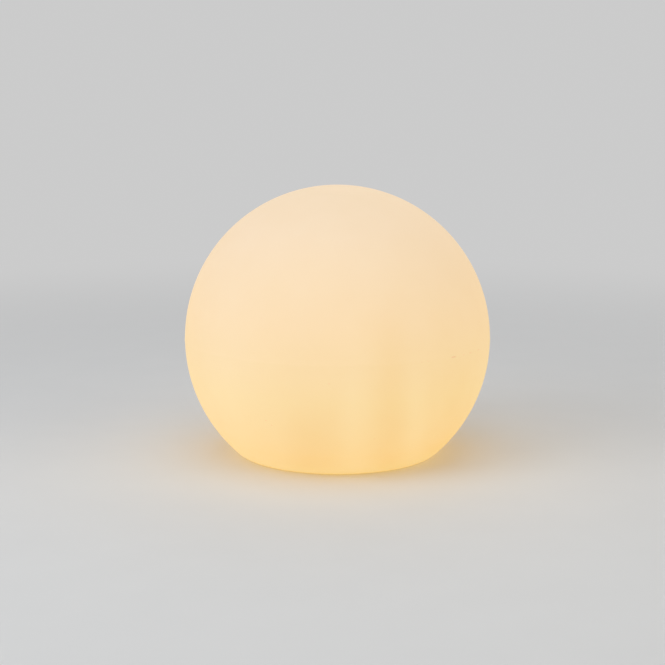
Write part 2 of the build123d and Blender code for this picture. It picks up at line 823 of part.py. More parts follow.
# Nut that holds the vent, inside the cup
with BuildPart() as vent_nut:
    with BuildSketch(Plane.XY.offset(cup_floor)):
        with Locations((-vent_offset, 0)):
            RegularPolygon(socket_nut_flats / 2, 6, major_radius=False)
            Circle(vent_shank_radius + thread_bite_clearance, mode=Mode.SUBTRACT)
    extrude(amount=vent_nut_thickness)
save(vent_nut, "vent_nut")

# Control board, with its parts on the underside
with BuildPart() as control_board:
    with BuildSketch(Plane.XY.offset(board_bottom)):
        RectangleRounded(board_length, board_width, standoff_radius)
        with GridLocations(2 * board_screw_x, 2 * board_screw_y, 2, 2):
            Circle(board_screw_radius + screw_hole_clearance, mode=Mode.SUBTRACT)
    extrude(amount=board_thickness)
save(control_board, "control_board")

board_screw = pan_head_screw(
    board_screw_radius, board_screw_length, board_screw_head_radius, board_screw_head_height
)
with BuildPart() as board_screws:
    with Locations((0, 0, board_top)):
        with GridLocations(2 * board_screw_x, 2 * board_screw_y, 2, 2):
            add(board_screw, rotation=(180, 0, 0))
save(board_screws, "board_screws")

with BuildPart() as board_chips:
    with BuildSketch(Plane.XY.offset(board_bottom)):
        with Locations(chip_place):
            Rectangle(chip_width, chip_width)
        with Locations(driver_place):
            Rectangle(driver_length, driver_width)
    extrude(amount=-chip_height)
save(board_chips, "board_chips")

with BuildPart() as board_coil:
    with BuildSketch(Plane.XY.offset(board_bottom)):
        with Locations(coil_place):
            Circle(coil_radius)
    extrude(amount=-coil_height)
    chamfer(board_coil.edges().group_by(Axis.Z)[0], coil_chamfer)
save(board_coil, "board_coil")

with BuildPart() as board_capacitors:
    with BuildSketch(Plane.XY.offset(board_bottom)):
        with Locations(capacitor_place):
            with GridLocations(2 * capacitor_radius + capacitor_gap, 0, 2, 1):
                Circle(capacitor_radius)
    extrude(amount=-capacitor_height)
    fillet(board_capacitors.edges().group_by(Axis.Z)[0], capacitor_edge)
save(board_capacitors, "board_capacitors")

header_centre = header_x - header_length / 2
with BuildPart() as lead_headers:
    with BuildSketch(Plane.XY.offset(board_bottom)):
        with Locations((header_centre, 0)):
            Rectangle(header_length, header_width)
        with Locations((-header_centre, header_spread), (-header_centre, -header_spread)):
            Rectangle(header_length, header_width)
    extrude(amount=-header_height)
save(lead_headers, "lead_headers")

# Battery tray: a floor on the posts, ribs between the cells and walls at their ends
with BuildPart() as battery_tray:
    with BuildSketch(Plane.XY.offset(tray_bottom)):
        RectangleRounded(tray_length, tray_width, tray_corner_radius)
    extrude(amount=tray_floor)
    with BuildSketch(Plane.XY.offset(tray_top)):
        with GridLocations(cell_pitch, 0, cell_count - 1, 1):
            Rectangle(tray_rib_width, cell_length)
    extrude(amount=tray_rib_height)
    with BuildSketch(Plane.XY.offset(tray_top)):
        with GridLocations(0, 2 * tray_end_y + tray_end_wall, 1, 2):
            Rectangle(strip_length, tray_end_wall)
    extrude(amount=tray_end_height)
    with BuildSketch(Plane.XY.offset(tray_top)):
        with GridLocations(2 * tray_screw_x, 0, 2, 1):
            Circle(band_boss_radius)
    extrude(amount=band_boss_height)
    with BuildSketch(Plane.XY.offset(tray_top + band_boss_height)):
        with GridLocations(2 * tray_screw_x, 0, 2, 1):
            Circle(tray_screw_radius + thread_bite_clearance)
    extrude(amount=-band_boss_height, mode=Mode.SUBTRACT)
    with BuildSketch(Plane.XY.offset(tray_bottom)):
        with GridLocations(2 * tray_screw_x, 2 * tray_screw_y, 2, 2):
            Circle(tray_screw_radius + screw_hole_clearance)
    extrude(amount=tray_floor, mode=Mode.SUBTRACT)
save(battery_tray, "battery_tray")

tray_screw = pan_head_screw(
    tray_screw_radius, tray_screw_length, tray_screw_head_radius, tray_screw_head_height
)
with BuildPart() as tray_screws:
    with Locations((0, 0, tray_top)):
        with GridLocations(2 * tray_screw_x, 2 * tray_screw_y, 2, 2):
            add(tray_screw, rotation=(180, 0, 0))
save(tray_screws, "tray_screws")

# Round cells side by side, each with a cap on its +Y end
with BuildPart() as battery_cells:
    with BuildSketch(Plane.XZ):
        with Locations((0, cell_axis)):
            with GridLocations(cell_pitch, 0, cell_count, 1):
                Circle(cell_radius)
    extrude(amount=cell_end, both=True)
    with BuildSketch(Plane.XZ.offset(-cell_end)):
        with Locations((0, cell_axis)):
            with GridLocations(cell_pitch, 0, cell_count, 1):
                Circle(cell_cap_radius)
    extrude(amount=-cell_cap_height)
save(battery_cells, "battery_cells")

# Nickel strips that join the cells at each end
with BuildPart() as cell_strips:
    with BuildSketch(Plane.XZ.offset(-cell_end - cell_cap_height)):
        with Locations((0, cell_axis)):
            Rectangle(strip_length, strip_height)
    extrude(amount=-strip_thickness)
    with BuildSketch(Plane.XZ.offset(cell_end)):
        with Locations((0, cell_axis)):
            Rectangle(strip_length, strip_height)
    extrude(amount=strip_thickness)
save(cell_strips, "cell_strips")

# Metal band over the cells, with a foot on each of the tray's bosses
band_leg_x = strip_length / 2 + band_thickness / 2
band_foot = tray_screw_x + band_foot_margin - band_leg_x
with BuildPart() as battery_strap:
    with BuildSketch(Plane.XZ):
        with Locations((0, band_bottom + band_thickness / 2)):
            Rectangle(2 * band_leg_x + band_thickness, band_thickness)
        with GridLocations(2 * band_leg_x, 0, 2, 1):
            with Locations((0, (band_foot_bottom + band_bottom) / 2)):
                Rectangle(band_thickness, band_bottom - band_foot_bottom)
        with GridLocations(2 * band_leg_x + band_foot, 0, 2, 1):
            with Locations((0, band_foot_bottom + band_thickness / 2)):
                Rectangle(band_foot, band_thickness)
    extrude(amount=band_width / 2, both=True)
    with BuildSketch(Plane.XY.offset(band_foot_bottom)):
        with GridLocations(2 * tray_screw_x, 0, 2, 1):
            Circle(tray_screw_radius + screw_hole_clearance)
    extrude(amount=band_thickness, mode=Mode.SUBTRACT)
save(battery_strap, "battery_strap")

strap_screw = pan_head_screw(
    tray_screw_radius, band_boss_height, tray_screw_head_radius, tray_screw_head_height
)
with BuildPart() as strap_screws:
    with Locations((0, 0, band_foot_bottom + band_thickness)):
        with GridLocations(2 * tray_screw_x, 0, 2, 1):
            add(strap_screw, rotation=(180, 0, 0))
save(strap_screws, "strap_screws")

# Leads from the headers to the battery strips, the LED board and the charging socket
with BuildPart() as battery_lead_red:
    add(lead(battery_route(header_spread + lead_half, cell_end + cell_cap_height + strip_thickness / 2)))
save(battery_lead_red, "battery_lead_red")

with BuildPart() as battery_lead_black:
    add(lead(battery_route(header_spread - lead_half, -cell_end - strip_thickness / 2)))
save(battery_lead_black, "battery_lead_black")

with BuildPart() as led_lead_red:
    add(lead(led_route(-header_spread + lead_half)))
save(led_lead_red, "led_lead_red")

with BuildPart() as led_lead_black:
    add(lead(led_route(-header_spread - lead_half)))
save(led_lead_black, "led_lead_black")

with BuildPart() as socket_lead_red:
    add(lead(socket_route(socket_tag_spacing / 2)))
save(socket_lead_red, "socket_lead_red")

with BuildPart() as socket_lead_black:
    add(lead(socket_route(-socket_tag_spacing / 2)))
save(socket_lead_black, "socket_lead_black")

# Gasket between the cup's rim and the heat plate
deck_gasket_inner_radius = deck_screw_circle_radius - deck_boss_radius
with BuildPart() as deck_gasket:
    with BuildSketch(Plane.XY.offset(cup_top)):
        Circle(deck_radius)
        Circle(deck_gasket_inner_radius, mode=Mode.SUBTRACT)
        with PolarLocations(deck_screw_circle_radius, deck_screw_count):
            Circle(deck_screw_radius + screw_hole_clearance, mode=Mode.SUBTRACT)
    extrude(amount=deck_gasket_thickness)
save(deck_gasket, "deck_gasket")

# Heat plate that closes the cup and carries the LED board
with BuildPart() as heat_plate:
    with BuildSketch(Plane.XY.offset(heat_plate_bottom)):
        Circle(deck_radius)
        with Locations((0, -header_spread)):
            Circle(lead_hole_radius, mode=Mode.SUBTRACT)
        with PolarLocations(deck_screw_circle_radius, deck_screw_count):
            Circle(deck_screw_radius + screw_hole_clearance, mode=Mode.SUBTRACT)
        with PolarLocations(led_screw_circle_radius, led_screw_count):
            Circle(led_screw_radius + thread_bite_clearance, mode=Mode.SUBTRACT)
    extrude(amount=heat_plate_thickness)
save(heat_plate, "heat_plate")

# Rubber grommet round the LED leads, in the heat plate
with BuildPart() as lead_grommet:
    with BuildSketch(Plane.XY.offset(heat_plate_bottom)):
        with Locations((0, -header_spread)):
            Circle(lead_hole_radius)
            Circle(lead_hole_radius - grommet_wall, mode=Mode.SUBTRACT)
    extrude(amount=heat_plate_thickness)
save(lead_grommet, "lead_grommet")

# Round LED board on the heat plate
with BuildPart() as led_board:
    with BuildSketch(Plane.XY.offset(heat_plate_top)):
        Circle(led_board_radius)
        with Locations((0, -header_spread)):
            Circle(lead_hole_radius - grommet_wall, mode=Mode.SUBTRACT)
        with PolarLocations(led_screw_circle_radius, led_screw_count):
            Circle(led_screw_radius + screw_hole_clearance, mode=Mode.SUBTRACT)
    extrude(amount=led_board_thickness)
save(led_board, "led_board")

led_screw_length = led_board_thickness + led_screw_bite
led_screw = pan_head_screw(led_screw_radius, led_screw_length, led_screw_head_radius, led_screw_head_height)
with BuildPart() as led_board_screws:
    with Locations((0, 0, led_board_top)):
        with PolarLocations(led_screw_circle_radius, led_screw_count):
            add(led_screw, rotation=(180, 0, 0))
save(led_board_screws, "led_board_screws")

# LED packages in rings
with BuildPart() as led_chips:
    with BuildSketch(Plane.XY.offset(led_board_top)):
        for ring_number, led_count in enumerate(led_ring_counts):
            ring_radius = led_board_radius - led_ring_inset - ring_number * led_ring_step
            with PolarLocations(ring_radius, led_count):
                Rectangle(led_size, led_size)
    extrude(amount=led_height)
save(led_chips, "led_chips")

# Gasket under the dome's flange
with BuildPart() as dome_gasket:
    with BuildSketch(Plane.XY.offset(heat_plate_top)):
        Circle(deck_radius)
        Circle(dome_inner_radius, mode=Mode.SUBTRACT)
        with PolarLocations(deck_screw_circle_radius, deck_screw_count):
            Circle(deck_screw_radius + screw_hole_clearance, mode=Mode.SUBTRACT)
    extrude(amount=deck_gasket_thickness)
save(dome_gasket, "dome_gasket")

# Frosted dome over the LEDs, with a flange for the deck screws
dome_ball_radius = (dome_outer_radius**2 + dome_height**2) / (2 * dome_height)
dome_ball_centre = dome_flange_top + dome_height - dome_ball_radius
with BuildPart() as led_dome:
    with BuildSketch(Plane.XY.offset(dome_flange_bottom)):
        Circle(deck_radius)
    extrude(amount=dome_flange_thickness)
    fillet(led_dome.edges().group_by(Axis.Z)[-1], dome_flange_edge)
    dome_rim_angle = degrees(asin((dome_flange_top - dome_ball_centre) / dome_ball_radius))
    with BuildSketch(Plane.XZ):
        with BuildLine():
            CenterArc((0, dome_ball_centre), dome_ball_radius, dome_rim_angle, 90 - dome_rim_angle)
            Polyline(
                (0, dome_flange_top + dome_height),
                (0, dome_flange_top),
                (dome_outer_radius, dome_flange_top),
            )
        make_face()
    revolve(axis=Axis.Z)
    hollow_radius = dome_ball_radius - dome_wall
    hollow_angle = degrees(asin((dome_flange_bottom - dome_ball_centre) / hollow_radius))
    hollow_rim = sqrt(hollow_radius**2 - (dome_flange_bottom - dome_ball_centre) ** 2)
    with BuildSketch(Plane.XZ):
        with BuildLine():
            CenterArc((0, dome_ball_centre), hollow_radius, hollow_angle, 90 - hollow_angle)
            Polyline(
                (0, dome_ball_centre + hollow_radius),
                (0, dome_flange_bottom),
                (hollow_rim, dome_flange_bottom),
            )
        make_face()
    revolve(axis=Axis.Z, mode=Mode.SUBTRACT)
    with BuildSketch(Plane.XY.offset(dome_flange_bottom)):
        with PolarLocations(deck_screw_circle_radius, deck_screw_count):
            Circle(deck_screw_radius + screw_hole_clearance)
    extrude(amount=dome_flange_thickness, mode=Mode.SUBTRACT)
save(led_dome, "led_dome")

# Screws down through dome, gaskets and heat plate into the cup
deck_screw = pan_head_screw(
    deck_screw_radius,
    dome_flange_top - cup_top + deck_screw_bite,
    deck_screw_head_radius,
    deck_screw_head_height,
)
with BuildPart() as dome_screws:
    with Locations((0, 0, dome_flange_top)):
        with PolarLocations(deck_screw_circle_radius, deck_screw_count):
            add(deck_screw, rotation=(180, 0, 0))
save(dome_screws, "dome_screws")
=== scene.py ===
"""Dress the cordless garden globe light: a milky globe, lit from inside, on a plain pale floor.

The globe is modelled here over its solid, and so are the small raised marks under the module.
Every other piece keeps its solid and gets its own finish.
All lengths are in metres, with +Z up and the origin at the centre of the globe's flat base.
"""

from __future__ import annotations

import json
import logging
import math
from abc import ABC, abstractmethod
from contextlib import contextmanager
from dataclasses import dataclass
from enum import Enum
from typing import Any, Callable, ClassVar, Iterator, Union

import bpy
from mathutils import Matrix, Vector

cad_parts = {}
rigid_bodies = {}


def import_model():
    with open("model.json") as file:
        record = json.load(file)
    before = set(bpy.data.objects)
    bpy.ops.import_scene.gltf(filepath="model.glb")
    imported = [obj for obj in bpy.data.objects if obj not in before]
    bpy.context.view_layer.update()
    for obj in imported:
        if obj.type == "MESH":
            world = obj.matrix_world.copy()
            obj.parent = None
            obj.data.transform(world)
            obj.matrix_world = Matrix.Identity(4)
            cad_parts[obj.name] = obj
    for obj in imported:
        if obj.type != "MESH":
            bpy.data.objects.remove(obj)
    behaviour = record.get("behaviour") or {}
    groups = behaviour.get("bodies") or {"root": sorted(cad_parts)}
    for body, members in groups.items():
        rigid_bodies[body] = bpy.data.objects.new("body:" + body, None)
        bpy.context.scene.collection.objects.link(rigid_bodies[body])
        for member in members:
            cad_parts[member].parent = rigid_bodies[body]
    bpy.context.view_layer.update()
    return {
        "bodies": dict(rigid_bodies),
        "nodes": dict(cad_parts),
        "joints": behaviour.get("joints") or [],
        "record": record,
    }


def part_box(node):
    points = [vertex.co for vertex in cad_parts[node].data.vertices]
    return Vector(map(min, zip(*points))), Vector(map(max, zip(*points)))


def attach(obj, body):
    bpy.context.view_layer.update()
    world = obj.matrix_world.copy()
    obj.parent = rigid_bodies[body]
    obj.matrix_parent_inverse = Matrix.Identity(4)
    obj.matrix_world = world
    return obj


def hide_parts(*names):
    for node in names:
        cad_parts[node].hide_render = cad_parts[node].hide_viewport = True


LOG = logging.getLogger("globe_light")

Colour = tuple[float, float, float]
Place = tuple[float, float, float]
Span = tuple[float, float]
Piece = bpy.types.Object
Materials = dict[str, bpy.types.Material]
Stops = tuple[tuple[float, Colour], ...]
Rule = Callable[[Vector], bool]
Value = Union["Wire", float]


class Wire:
    """A shader socket that can stand in a Python expression."""

    def __init__(self, sheet: NodeSheet, socket: bpy.types.NodeSocket) -> None:
        """Wrap an output socket of one of the sheet's nodes."""
        self.sheet = sheet
        self.socket = socket

    def maths(self, operation: str, *others: Value) -> Wire:
        """Add a Math node whose first operand is this wire."""
        values = dict(enumerate((self, *others)))
        return self.sheet.node("ShaderNodeMath", {"operation": operation}, values)

    def reflected(self, operation: str, first: float) -> Wire:
        """Add a Math node with a number before this wire."""
        return self.sheet.node("ShaderNodeMath", {"operation": operation}, {0: first, 1: self})

    def __add__(self, other: Value) -> Wire:
        """Add."""
        return self.maths("ADD", other)

    def __radd__(self, other: float) -> Wire:
        """Add to a number."""
        return self.reflected("ADD", other)

    def __sub__(self, other: Value) -> Wire:
        """Take away."""
        return self.maths("SUBTRACT", other)

    def __rsub__(self, other: float) -> Wire:
        """Take away from a number."""
        return self.reflected("SUBTRACT", other)

    def __mul__(self, other: Value) -> Wire:
        """Multiply."""
        return self.maths("MULTIPLY", other)

    def __rmul__(self, other: float) -> Wire:
        """Multiply a number."""
        return self.reflected("MULTIPLY", other)

    def __truediv__(self, other: Value) -> Wire:
        """Divide."""
        return self.maths("DIVIDE", other)

    def __rtruediv__(self, other: float) -> Wire:
        """Divide a number."""
        return self.reflected("DIVIDE", other)

    def __abs__(self) -> Wire:
        """Drop the sign."""
        return self.maths("ABSOLUTE")

    def step(self, low: float, high: float) -> Wire:
        """Ease from 0 at one value to 1 at another.

        Args:
            low: The value that gives 0.
            high: The value that gives 1.

        Returns:
            The eased value.
        """
        settings = {"interpolation_type": "SMOOTHSTEP"}
        values = {"Value": self, "From Min": low, "From Max": high}
        return self.sheet.node("ShaderNodeMapRange", settings, values)

    def fade(self, low: float, high: float) -> Wire:
        """Ease from 1 at one value to 0 at another."""
        return 1.0 - self.step(low, high)

    def between(self, low: float, high: float) -> Wire:
        """Spread a value that goes from 0 to 1 over another range."""
        return low + self * (high - low)

    def across(self, other: Wire) -> Wire:
        """Give the distance that two wires at a right angle make up."""
        return (self * self + other * other).maths("SQRT")


class NodeSheet:
    """A node tree, with the few calls that the finishes and the sky need."""

    def __init__(self, tree: bpy.types.NodeTree) -> None:
        """Start with the tree of a material or of the world, emptied."""
        self.tree = tree
        self.tree.nodes.clear()

    def add(self, kind: str, settings: dict[str, Any], values: dict[Any, Any]) -> bpy.types.Node:
        """Add any node.

        Args:
            kind: The node's type.
            settings: Its settings; "stops" gives a colour ramp's positions and colours.
            values: The numbers or wires of its input sockets, by name or number.

        Returns:
            The node.
        """
        node = self.tree.nodes.new(kind)
        for setting, value in settings.items():
            if setting == "stops":
                self.set_stops(node.color_ramp, value)
            else:
                setattr(node, setting, value)
        for socket, value in values.items():
            self.feed(node.inputs[socket], value)
        return node

    def node(self, kind: str, settings: dict[str, Any], values: dict[Any, Any], output: Any = 0) -> Wire:
        """Add any node and read one of its outputs, by name or number."""
        return Wire(self, self.add(kind, settings, values).outputs[output])

    def feed(self, socket: bpy.types.NodeSocket, value: Any) -> None:
        """Link a wire to a socket, or set the socket's own value.

        Args:
            socket: The input socket.
            value: A wire, a number, a vector or a colour.
        """
        if isinstance(value, Wire):
            self.tree.links.new(value.socket, socket)
        elif isinstance(value, tuple) and socket.type == "RGBA":
            socket.default_value = (*value, 1.0)
        else:
            socket.default_value = value

    @staticmethod
    def set_stops(ramp: bpy.types.ColorRamp, stops: Stops) -> None:
        """Fill a colour ramp.

        Args:
            ramp: The ramp, which comes with two stops.
            stops: Positions from 0 to 1, each with its colour.
        """
        while len(ramp.elements) < len(stops):
            ramp.elements.new(1.0)
        for element, (position, colour) in zip(ramp.elements, stops):
            element.position = position
            element.color = (*colour, 1.0)

    def place(self) -> Wire:
        """Give the place on the piece, in metres."""
        return self.node("ShaderNodeTexCoord", {}, {}, "Object")

    def axes(self, place: Wire) -> tuple[Wire, Wire, Wire]:
        """Split a place into X, Y and Z."""
        x, y, z = self.add("ShaderNodeSeparateXYZ", {}, {0: place}).outputs
        return Wire(self, x), Wire(self, y), Wire(self, z)

    def vector(self, operation: str, first: Any, second: Any, output: Any = 0) -> Wire:
        """Add a Vector Math node on two vectors or colours."""
        return self.node("ShaderNodeVectorMath", {"operation": operation}, {0: first, 1: second}, output)

    def stretched(self, place: Wire, scale: Place) -> Wire:
        """Scale a place by a different amount on each axis."""
        return self.node("ShaderNodeMapping", {}, {"Vector": place, "Scale": scale})

    def dots(self, place: Wire, scale: float) -> Wire:
        """Add the distance to the nearest of many scattered points, as a share of their spacing."""
        return self.node("ShaderNodeTexVoronoi", {}, {"Vector": place, "Scale": scale}, "Distance")

    def mix(self, factor: Value, first: Any, second: Any) -> Wire:
        """Blend two colours, from the first at 0 to the second at 1."""
        return self.node("ShaderNodeMix", {"data_type": "RGBA"}, {0: factor, 6: first, 7: second}, 2)

    def dimmed(self, colour: Any, factor: Value) -> Wire:
        """Scale a colour's brightness."""
        return self.node("ShaderNodeVectorMath", {"operation": "SCALE"}, {0: colour, "Scale": factor})

    def bump(self, height: Wire, depth: float, strength: float) -> Wire:
        """Turn a height from 0 to 1 into a normal, with the depth of a full step in metres."""
        return self.node("ShaderNodeBump", {}, {"Height": height, "Distance": depth, "Strength": strength})

    def seen(self) -> Wire:
        """Pick out the rays that show a backdrop: to the camera, in gloss and through glass.

        Returns:
            1 for those rays and 0 for the rest.
        """
        rays = self.add("ShaderNodeLightPath", {}, {}).outputs
        kinds = ("Camera", "Glossy", "Transmission")
        camera, gloss, glass = (Wire(self, rays[f"Is {kind} Ray"]) for kind in kinds)
        return camera.maths("MAXIMUM", gloss).maths("MAXIMUM", glass)


class FinishSheet(NodeSheet):
    """The node tree of one material, round a Principled shader."""

    def __init__(self, name: str) -> None:
        """Start a material.

        Args:
            name: The material's name.
        """
        self.material = bpy.data.materials.new(name)
        self.material.use_nodes = True
        super().__init__(self.material.node_tree)
        self.principled = self.add("ShaderNodeBsdfPrincipled", {}, {})
        self.shader = Wire(self, self.principled.outputs[0])
        self.output = self.add("ShaderNodeOutputMaterial", {}, {"Surface": self.shader})

    def finish(self, **values: Any) -> None:
        """Set the shader's sockets.

        Args:
            values: Numbers, colours or wires, by the socket's name with _ for a space.
        """
        for name, value in values.items():
            socket = name.replace("_", " ").title().replace("Ior", "IOR")
            self.feed(self.principled.inputs[socket], value)


class Finish(ABC):
    """A finish that the pieces of one material slot have."""

    def make(self, name: str) -> bpy.types.Material:
        """Build the finish as a material.

        Args:
            name: The material's name.

        Returns:
            The material.
        """
        sheet = FinishSheet(name)
        self.paint(sheet, sheet.place())
        return sheet.material

    @abstractmethod
    def paint(self, sheet: FinishSheet, place: Wire) -> None:
        """Feed the shader of the finish, by the place on the piece."""


@dataclass(frozen=True)
class Mottle:
    """Smooth noise over a surface, as values in a range or as patches.

    Attributes:
        scale: Waves of the noise per metre.
        detail: How many finer layers it has.
        low: The least value, or the noise that starts a patch.
        high: The greatest value, or the noise that makes a full patch.
        rough: How strong the finer layers are.
    """

    scale: float
    detail: float
    low: float = 0.0
    high: float = 1.0
    rough: float = 0.5

    def noise(self, place: Wire) -> Wire:
        """Give the noise itself, from 0 to 1."""
        values = {"Vector": place, "Scale": self.scale, "Detail": self.detail, "Roughness": self.rough}
        return place.sheet.node("ShaderNodeTexNoise", {}, values)

    def spread(self, place: Wire) -> Wire:
        """Give values from the least to the greatest."""
        return self.noise(place).between(self.low, self.high)

    def patches(self, place: Wire) -> Wire:
        """Give 1 in the patches and 0 between them, with soft edges."""
        return self.noise(place).step(self.low, self.high)


@dataclass(frozen=True)
class PaintedStreak:
    """A soft upright band painted into the glow: painted shade where it makes the glow more amber, painted
    light where it makes it less amber.

    Attributes:
        facing: The side of the globe that it is on, in degrees to the right of the front.
        offset: How far it lies to the right of the middle, seen from that side.
        half_width: How far it reaches either side.
        amber: How much blue it takes from the glow; less than 0 adds some.
        fade_low: The height where it is at its full strength.
        fade_high: The height where it has faded out.
    """

    facing: float
    offset: float
    half_width: float
    amber: float
    fade_low: float
    fade_high: float


@dataclass(frozen=True)
class MilkyGlow(Finish):
    """Milky moulded plastic with a warm light behind it, strongest near the foot.

    Attributes:
        height: Height of the globe, over which the glow changes.
        seam_level: Height of the mould seam.
        body: Colour of the plastic by itself.
        body_worn: Its colour where it is most worn.
        wear: How worn it is.
        roughness: Its roughness.
        gloss: Its specular level.
        grain: The grain of its skin.
        glow_stops: The light behind it, from the foot to the top.
        clouds: How the light varies.
        streaks: The upright bands of painted shade and painted light in the glow.
        streak_front: How far out towards its side a streak starts, and is at its full strength.
        streak_foot: The heights where the streaks start, and are at their full strength.
        amber_loss: How much red, green and blue a streak takes.
        underside_dimming: How much of the light the well loses.
        shaded_radii: The radii where that loss starts to ease, and where it ends.
        shaded_levels: The heights where it starts to ease, and where it ends.
        seam_fade: How far from the seam its soil starts to ease, and where it ends.
        scuffed_side: Where the seam is scuffed, in degrees to the right of the front.
        scuffed_front: How far out towards that side the scuffs start, and are at their full strength.
        scuffs: The scuffs.
        speck_scale: Cells per metre that may hold a speck.
        speck_fade: Where a speck starts to ease and where it ends, as shares of a cell.
        speck_patches: Where there are specks.
        scuff_soil: How dark a scuff is.
        speck_soil: How dark a speck is.
        soil_on_body: How much of the plastic's colour full soil takes.
        soil_on_glow: How much of the light it takes.
    """

    height: float
    seam_level: float
    body: Colour = (0.42, 0.41, 0.395)
    body_worn: Colour = (0.39, 0.378, 0.35)
    wear: Mottle = Mottle(15.0, 4.0)
    roughness: Mottle = Mottle(30.0, 3.0, 0.56, 0.68)
    gloss: float = 0.15
    grain: Mottle = Mottle(420.0, 4.0)
    glow_stops: Stops = (
        (0.0, (0.675, 0.445, 0.14)),
        (0.08, (0.711, 0.436, 0.102)),
        (0.3, (0.698, 0.458, 0.128)),
        (0.56, (0.675, 0.433, 0.157)),
        (0.86, (0.6, 0.396, 0.181)),
        (1.0, (0.558, 0.368, 0.161)),
    )
    clouds: Mottle = Mottle(5.0, 2.0, 0.975, 1.025)
    # Painted upright streaks of shade and light in the glow, set round all four sides.
    streaks: tuple[PaintedStreak, ...] = (
        PaintedStreak(0.0, 0.096, 0.048, 0.3, 0.13, 0.4),
        PaintedStreak(0.0, 0.028, 0.036, -0.12, 0.1, 0.42),
        PaintedStreak(0.0, -0.05, 0.08, 0.3, 0.06, 0.24),
        PaintedStreak(0.0, 0.147, 0.03, -0.1, 0.12, 0.3),
        PaintedStreak(0.0, 0.215, 0.08, 0.24, 0.08, 0.32),
        PaintedStreak(0.0, -0.2, 0.09, -0.16, 0.2, 0.55),
        PaintedStreak(90.0, 0.03, 0.06, 0.3, 0.06, 0.3),
        PaintedStreak(90.0, 0.11, 0.045, -0.12, 0.1, 0.32),
        PaintedStreak(180.0, -0.1, 0.06, 0.25, 0.08, 0.3),
        PaintedStreak(180.0, -0.02, 0.04, -0.12, 0.1, 0.32),
        PaintedStreak(180.0, 0.12, 0.07, 0.26, 0.09, 0.27),
        PaintedStreak(-90.0, -0.03, 0.05, 0.28, 0.07, 0.3),
        PaintedStreak(-90.0, -0.12, 0.05, -0.12, 0.1, 0.32),
    )
    streak_front: Span = (0.03, 0.15)
    streak_foot: Span = (0.0, 0.03)
    amber_loss: Colour = (0.08, 0.24, 1.0)
    underside_dimming: float = 0.42
    shaded_radii: Span = (0.09, 0.205)
    shaded_levels: Span = (0.055, 0.075)
    seam_fade: Span = (0.0008, 0.0016)
    scuffed_side: float = 58.0
    scuffed_front: Span = (0.2, 0.29)
    scuffs: Mottle = Mottle(55.0, 3.0, 0.55, 0.7)
    speck_scale: float = 55.0
    speck_fade: Span = (0.033, 0.055)
    speck_patches: Mottle = Mottle(22.0, 0.0, 0.66, 0.68)
    scuff_soil: float = 0.4
    speck_soil: float = 0.8
    soil_on_body: float = 0.5
    soil_on_glow: float = 0.3

    def paint(self, sheet: FinishSheet, place: Wire) -> None:
        """Feed the shader of the finish.

        Args:
            sheet: The material's tree.
            place: The place on the globe.
        """
        x, y, z = sheet.axes(place)
        soil = self.soil_mask(sheet, place, z)
        lit = 1.0 - self.underside_mask(x, y, z) * self.underside_dimming
        level = self.clouds.spread(place) * lit * (1.0 - soil * self.soil_on_glow)
        body = sheet.mix(self.wear.noise(place), self.body, self.body_worn)
        sheet.finish(
            base_color=sheet.dimmed(body, 1.0 - soil * self.soil_on_body),
            roughness=self.roughness.spread(place),
            specular_ior_level=self.gloss,
            emission_color=sheet.dimmed(self.glow(sheet, place, z), level),
            emission_strength=1.0,
            normal=sheet.bump(self.grain.noise(place), depth=0.00012, strength=0.35),
        )

    def glow(self, sheet: NodeSheet, place: Wire, z: Wire) -> Wire:
        """Give the light behind the plastic, with its streaks.

        Args:
            sheet: The material's tree.
            place: The place on the globe.
            z: Its height.

        Returns:
            The light's colour.
        """
        plain = sheet.node("ShaderNodeValToRGB", {"stops": self.glow_stops}, {"Fac": z / self.height})
        # The painted streaks of shade and light take blue out of the glow here.
        taken = sheet.dimmed(self.amber_loss, self.painted_streak_sum(sheet, place, z))
        left = sheet.vector("SUBTRACT", (1.0, 1.0, 1.0), taken)
        return sheet.vector("MULTIPLY", plain, left)

    @staticmethod
    def seen_from(sheet: NodeSheet, place: Wire, facing: float) -> tuple[Wire, Wire]:
        """Measure a place as it is seen from one side.

        Args:
            sheet: The material's tree.
            place: The place on the globe.
            facing: The side, in degrees to the right of the front.

        Returns:
            How far the place lies to the right, and how far towards the viewer.
        """
        turn = math.radians(facing)
        right = sheet.vector("DOT_PRODUCT", place, (math.cos(turn), math.sin(turn), 0.0), "Value")
        front = sheet.vector("DOT_PRODUCT", place, (math.sin(turn), -math.cos(turn), 0.0), "Value")
        return right, front

    def painted_streak_sum(self, sheet: NodeSheet, place: Wire, z: Wire) -> Wire:
        """Add up the painted streaks of shade and light.

        Args:
            sheet: The material's tree.
            place: The place on the globe.
            z: Its height.

        Returns:
            The share of the glow's blue that the streaks take away.
        """
        total: Value = 0.0
        for streak in self.streaks:
            right, front = self.seen_from(sheet, place, streak.facing)
            band = abs(right - streak.offset).fade(0.0, streak.half_width)
            upright = z.fade(streak.fade_low, streak.fade_high)
            total = band * upright * front.step(*self.streak_front) * streak.amber + total
        return total * z.step(*self.streak_foot)

    def underside_mask(self, x: Wire, y: Wire, z: Wire) -> Wire:
        """Find the flat base and the well, which the module shades from its own light."""
        return x.across(y).fade(*self.shaded_radii) * z.fade(*self.shaded_levels)

    def soil_mask(self, sheet: NodeSheet, place: Wire, z: Wire) -> Wire:
        """Find the scuffs along the seam and a few tiny dark specks.

        Args:
            sheet: The material's tree.
            place: The place on the globe.
            z: Its height.

        Returns:
            How much soil there is, from 0 where the globe is clean.
        """
        seam = abs(z - self.seam_level).fade(*self.seam_fade)
        worn = self.seen_from(sheet, place, self.scuffed_side)[1].step(*self.scuffed_front)
        scuffs = seam * worn * self.scuffs.patches(place)
        dots = sheet.dots(place, self.speck_scale).fade(*self.speck_fade)
        specks = dots * self.speck_patches.patches(place)
        return scuffs * self.scuff_soil + specks * self.speck_soil


